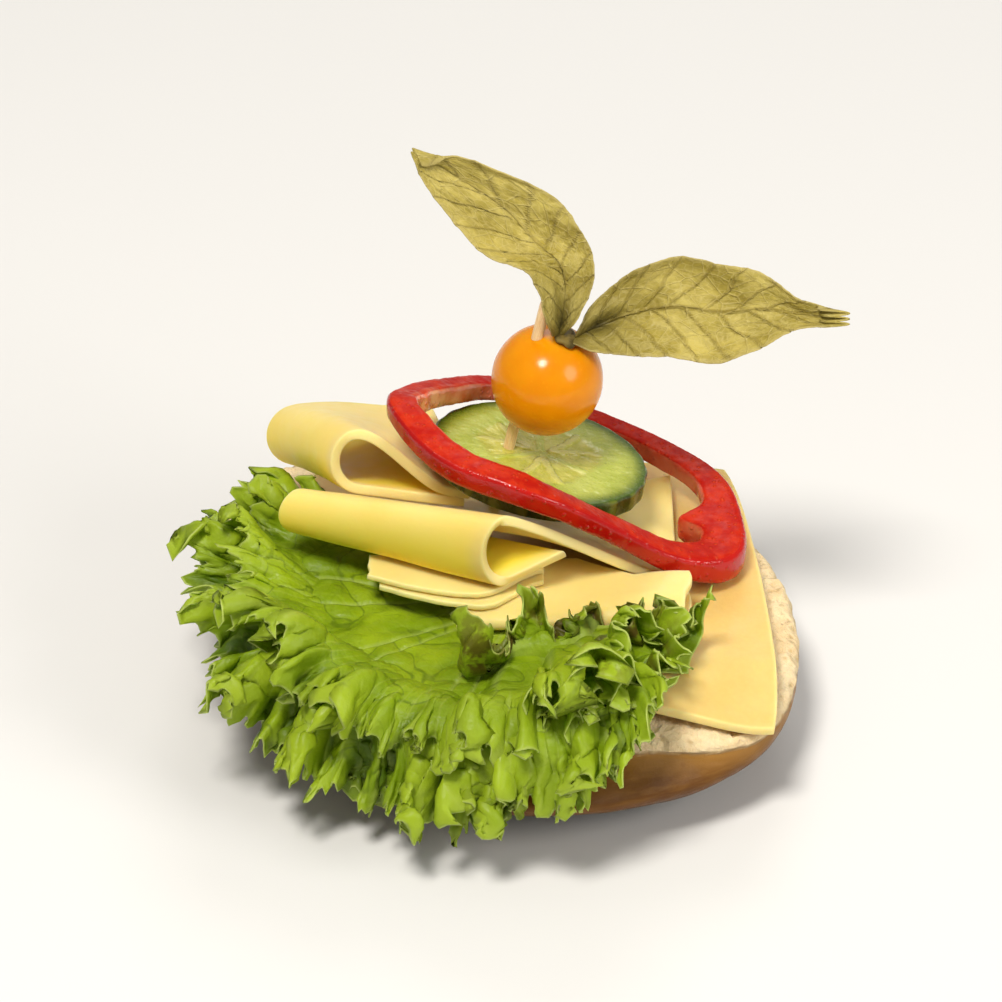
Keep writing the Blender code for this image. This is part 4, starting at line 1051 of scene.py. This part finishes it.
def build_husk(name, node, low, high, hollow, seed, tips):
    nu, nv = 190, 62
    u = edge_steps(nu, 50, 0.5)
    v = edge_steps(nv, 15, 0.5)
    U, V = np.meshgrid(u, v, indexing="ij")
    t = 2 * V - 1
    A, B = spline(low, u)[:, None, :], spline(high, u)[:, None, :]
    # uneven outline: soft lobes and small nicks, and a tip split into points
    spread = 1 + (0.05 * noise(U * 8, np.sign(t) * 2.0, 0, seed) + 0.02 * noise(U * 30, np.sign(t) * 2.0, 0, seed + 1)) * np.abs(t) ** 2
    P = mix(A, B, (0.5 + 0.5 * t * spread)[..., None])
    body = np.sin(np.clip(U, 0, 1) * math.pi)
    back = hollow * (1 - t * t) * body ** 0.6
    back = back + (0.35 * np.sin(U * 23.0 + t * 3.0) + 0.3 * np.sin(t * 7.0 + U * 9.0)) * body
    # a fold along the middle near the berry
    back = back + 1.5 * np.exp(-(t / 0.28) ** 2) * np.exp(-((U - 0.20) / 0.16) ** 2)
    P[..., 1] += back
    P[..., 2] -= 0.7 * back
    N = grid_normals(P)
    q = U * 7.5 + 0.35 * noise(U * 5, t * 2, 0, seed + 3)
    main = np.zeros_like(U)

    def mark(dist, wide, strength):
        np.maximum(main, np.clip(1 - np.abs(dist) / wide, 0, 1) * strength, out=main)

    mark(t + 0.06 * noise(U * 5, 0.5, 0, seed + 9) - 0.05, 0.045, 1.0)
    for k in range(8):
        for sgn in (-1, 1):
            start = 0.05 + 0.105 * k + (0.04 if sgn > 0 else 0)
            line = start + 0.15 * np.abs(t) ** 0.8 + 0.02 * noise(t * 3, k * 1.7, sgn, seed + 10)
            mark(np.where(np.sign(t) == sgn, U - line, 1.0), 0.0085, 0.75)
    cell = noise(U * 15, t * 3.2, 0, seed + 5)
    crumple = (0.42 * noise(U * 8, t * 1.9, 0, seed + 4) + 0.30 * cell + 0.22 * np.abs(noise(U * 27, t * 6.0, 0, seed + 6))
               + 0.10 * noise(U * 55, t * 12, 0, seed + 7)) * (0.3 + body)
    P = P + N * (crumple + 0.14 * main)[..., None]
    # points at the tip
    k = smooth((U - 0.90) / 0.10)
    lobe = np.abs(np.sin(V * math.pi * tips))
    along = spline(low, [1.0]) - spline(low, [0.93])
    P = P - k[..., None] * (1 - lobe ** 0.6)[..., None] * along[0] * 1.15
    edge = smooth((np.abs(t) - 0.90) / 0.10)
    # foot, base and pocket mark where the leaf is painted darker as shade, towards the berry and in its fold's hollow
    base = smooth((0.13 - U) / 0.12)
    pocket = np.exp(-((U - 0.13) / 0.10) ** 2 - ((t - 0.05) / 0.42) ** 2)
    attrs = {"vein": main, "edge": edge, "base": base, "foot": smooth((0.46 - U) / 0.30), "pocket": pocket,
             "par": np.stack([U, t, 0 * U + seed * 0.01], -1)}
    thick_sheet(name, P, 0.32, 0.2, node, husk_look(name + "_paper"), attrs, 2.0)


def build_calyx():
    look = Look("calyx_dry")
    col = look.blend(look.band(look.noise(500, 4), 0.35, 0.65), (0.055, 0.038, 0.006), (0.170, 0.120, 0.026))
    look.set(Base_Color=col, Roughness=look.span(look.noise(300, 2), 0.3, 0.7, 0.5, 0.75),
             Normal=look.bump(look.noise(900, 4), 0.0003, 0.7), Specular_IOR_Level=0.22)
    lean = np.array(Vector(BERRY_LEAN).normalized())
    M = np.array(Vector((0, 0, 1)).rotation_difference(Vector(BERRY_LEAN)).to_matrix())
    nu, nv = 72, 20
    th = np.linspace(0, 2 * math.pi, nu, endpoint=False)[:, None]
    k = np.linspace(0, 1, nv)[None, :]
    r = (2.3 * np.sqrt(np.clip(1 - (2 * k - 1) ** 2, 0, 1)) ** 0.7) * (1 + 0.12 * np.cos(5 * th) + 0.06 * noise(th * 3, k * 4, 0, 3))
    z = 1.5 * k - 0.1
    P = np.stack([r * np.cos(th), r * np.sin(th), z + 0 * th], -1).reshape(-1, 3)
    P = P @ M.T + np.array(BERRY_MID) + lean * (BERRY_R * 0.95 + 0.2)
    index = np.arange(nu * nv).reshape(nu, nv)
    faces = grid_faces(np.vstack([index, index[:1]])).tolist()
    faces.append([int(i) for i in index[::-1, 0]])
    faces.append([int(i) for i in index[:, -1]])
    make("calyx_fine", P, faces, "calyx", look.mat)


def build_pick():
    low, top = np.array(PICK_LOW), np.array(PICK_TOP)
    axis = top - low
    length = float(np.linalg.norm(axis))
    M = np.array(Vector((0, 0, 1)).rotation_difference(Vector(axis)).to_matrix())
    nu, nv = 32, 110
    th = np.linspace(0, 2 * math.pi, nu, endpoint=False)[:, None]
    k = np.linspace(0, 1, nv)[None, :]
    end = np.minimum(k, 1 - k) * length
    r = PICK_R * (1 - 0.14 * (1 - np.clip(end / 0.35, 0, 1)) ** 2) + 0.02 * noise(th * 4, k * 9, 0, 2)
    P = np.stack([r * np.cos(th), r * np.sin(th), k * length + 0 * th], -1)
    along = P.reshape(-1, 3)
    Q = along @ M.T + low
    index = np.arange(nu * nv).reshape(nu, nv)
    faces = grid_faces(np.vstack([index, index[:1]])).tolist()
    faces.append([int(i) for i in index[::-1, 0]])
    faces.append([int(i) for i in index[:, -1]])
    make("pick_fine", Q, faces, "pick", wood_look(), {"along": along})


build_roll()
build_cheese()
build_lettuce()
build_ring()
build_cucumber()
build_berry()
build_husk("husk_leaf_left", "husk_left", HUSK_LEFT_LOW, HUSK_LEFT_HIGH, 1.8, 300, 2)
build_husk("husk_leaf_right", "husk_right", HUSK_RIGHT_LOW, HUSK_RIGHT_HIGH, 2.6, 320, 3)
build_calyx()
build_pick()


# ------------------------------------------------------------ floor, light, camera
def build_stage():
    bm = bmesh.new()
    bmesh.ops.create_grid(bm, x_segments=2, y_segments=2, size=3.0)
    mesh = bpy.data.meshes.new("floor")
    bm.to_mesh(mesh)
    bm.free()
    floor = bpy.data.objects.new("floor", mesh)
    bpy.context.scene.collection.objects.link(floor)
    look = Look("floor_matt")
    look.set(Base_Color=look.blend(look.noise(3, 2), (0.70, 0.70, 0.69), (0.73, 0.73, 0.72)), Roughness=0.85)
    mesh.materials.append(look.mat)

    def area(name, place, target, size, power, colour):
        data = bpy.data.lights.new(name, "AREA")
        data.shape = "DISK"
        data.size = size
        data.energy = power
        data.color = colour
        obj = bpy.data.objects.new(name, data)
        bpy.context.scene.collection.objects.link(obj)
        obj.location = place
        obj.rotation_euler = (Vector(target) - Vector(place)).to_track_quat("-Z", "Y").to_euler()

    mid = (0.0, 0.0, 0.04)
    area("key", (-0.20, -0.42, 1.02), mid, 0.30, 11.4, (1.0, 0.95, 0.88))
    area("fill", (0.75, -0.45, 0.55), mid, 0.50, 4.6, (1.0, 0.97, 0.92))
    area("back", (0.10, 0.85, 0.75), mid, 0.55, 3.0, (1.0, 0.97, 0.93))
    world = bpy.data.worlds.new("studio")
    world.use_nodes = True
    world.node_tree.nodes["Background"].inputs[0].default_value = (1.0, 0.98, 0.95, 1.0)
    world.node_tree.nodes["Background"].inputs[1].default_value = 0.28
    bpy.context.scene.world = world
    bpy.context.scene.view_settings.view_transform = "Standard"


ELEVATION = math.radians(35.0)
DISTANCE = 1.0
PIXEL = 0.000177                  # metres on the object per pixel of the frame
TARGET = Vector((-0.000885, 0.02010156, 0.02870800))


def build_camera():
    data = bpy.data.cameras.new("photo_view")
    cam = bpy.data.objects.new("photo_view", data)
    bpy.context.scene.collection.objects.link(cam)
    data.sensor_width = 36.0
    data.lens = 36.0 * DISTANCE / (1002 * PIXEL)
    data.clip_start, data.clip_end = 0.05, 20.0
    way = Vector((0.0, -math.cos(ELEVATION), math.sin(ELEVATION)))
    cam.location = TARGET + way * DISTANCE
    cam.rotation_euler = way.to_track_quat("Z", "Y").to_euler()
    bpy.context.scene.camera = cam


build_stage()
build_camera()
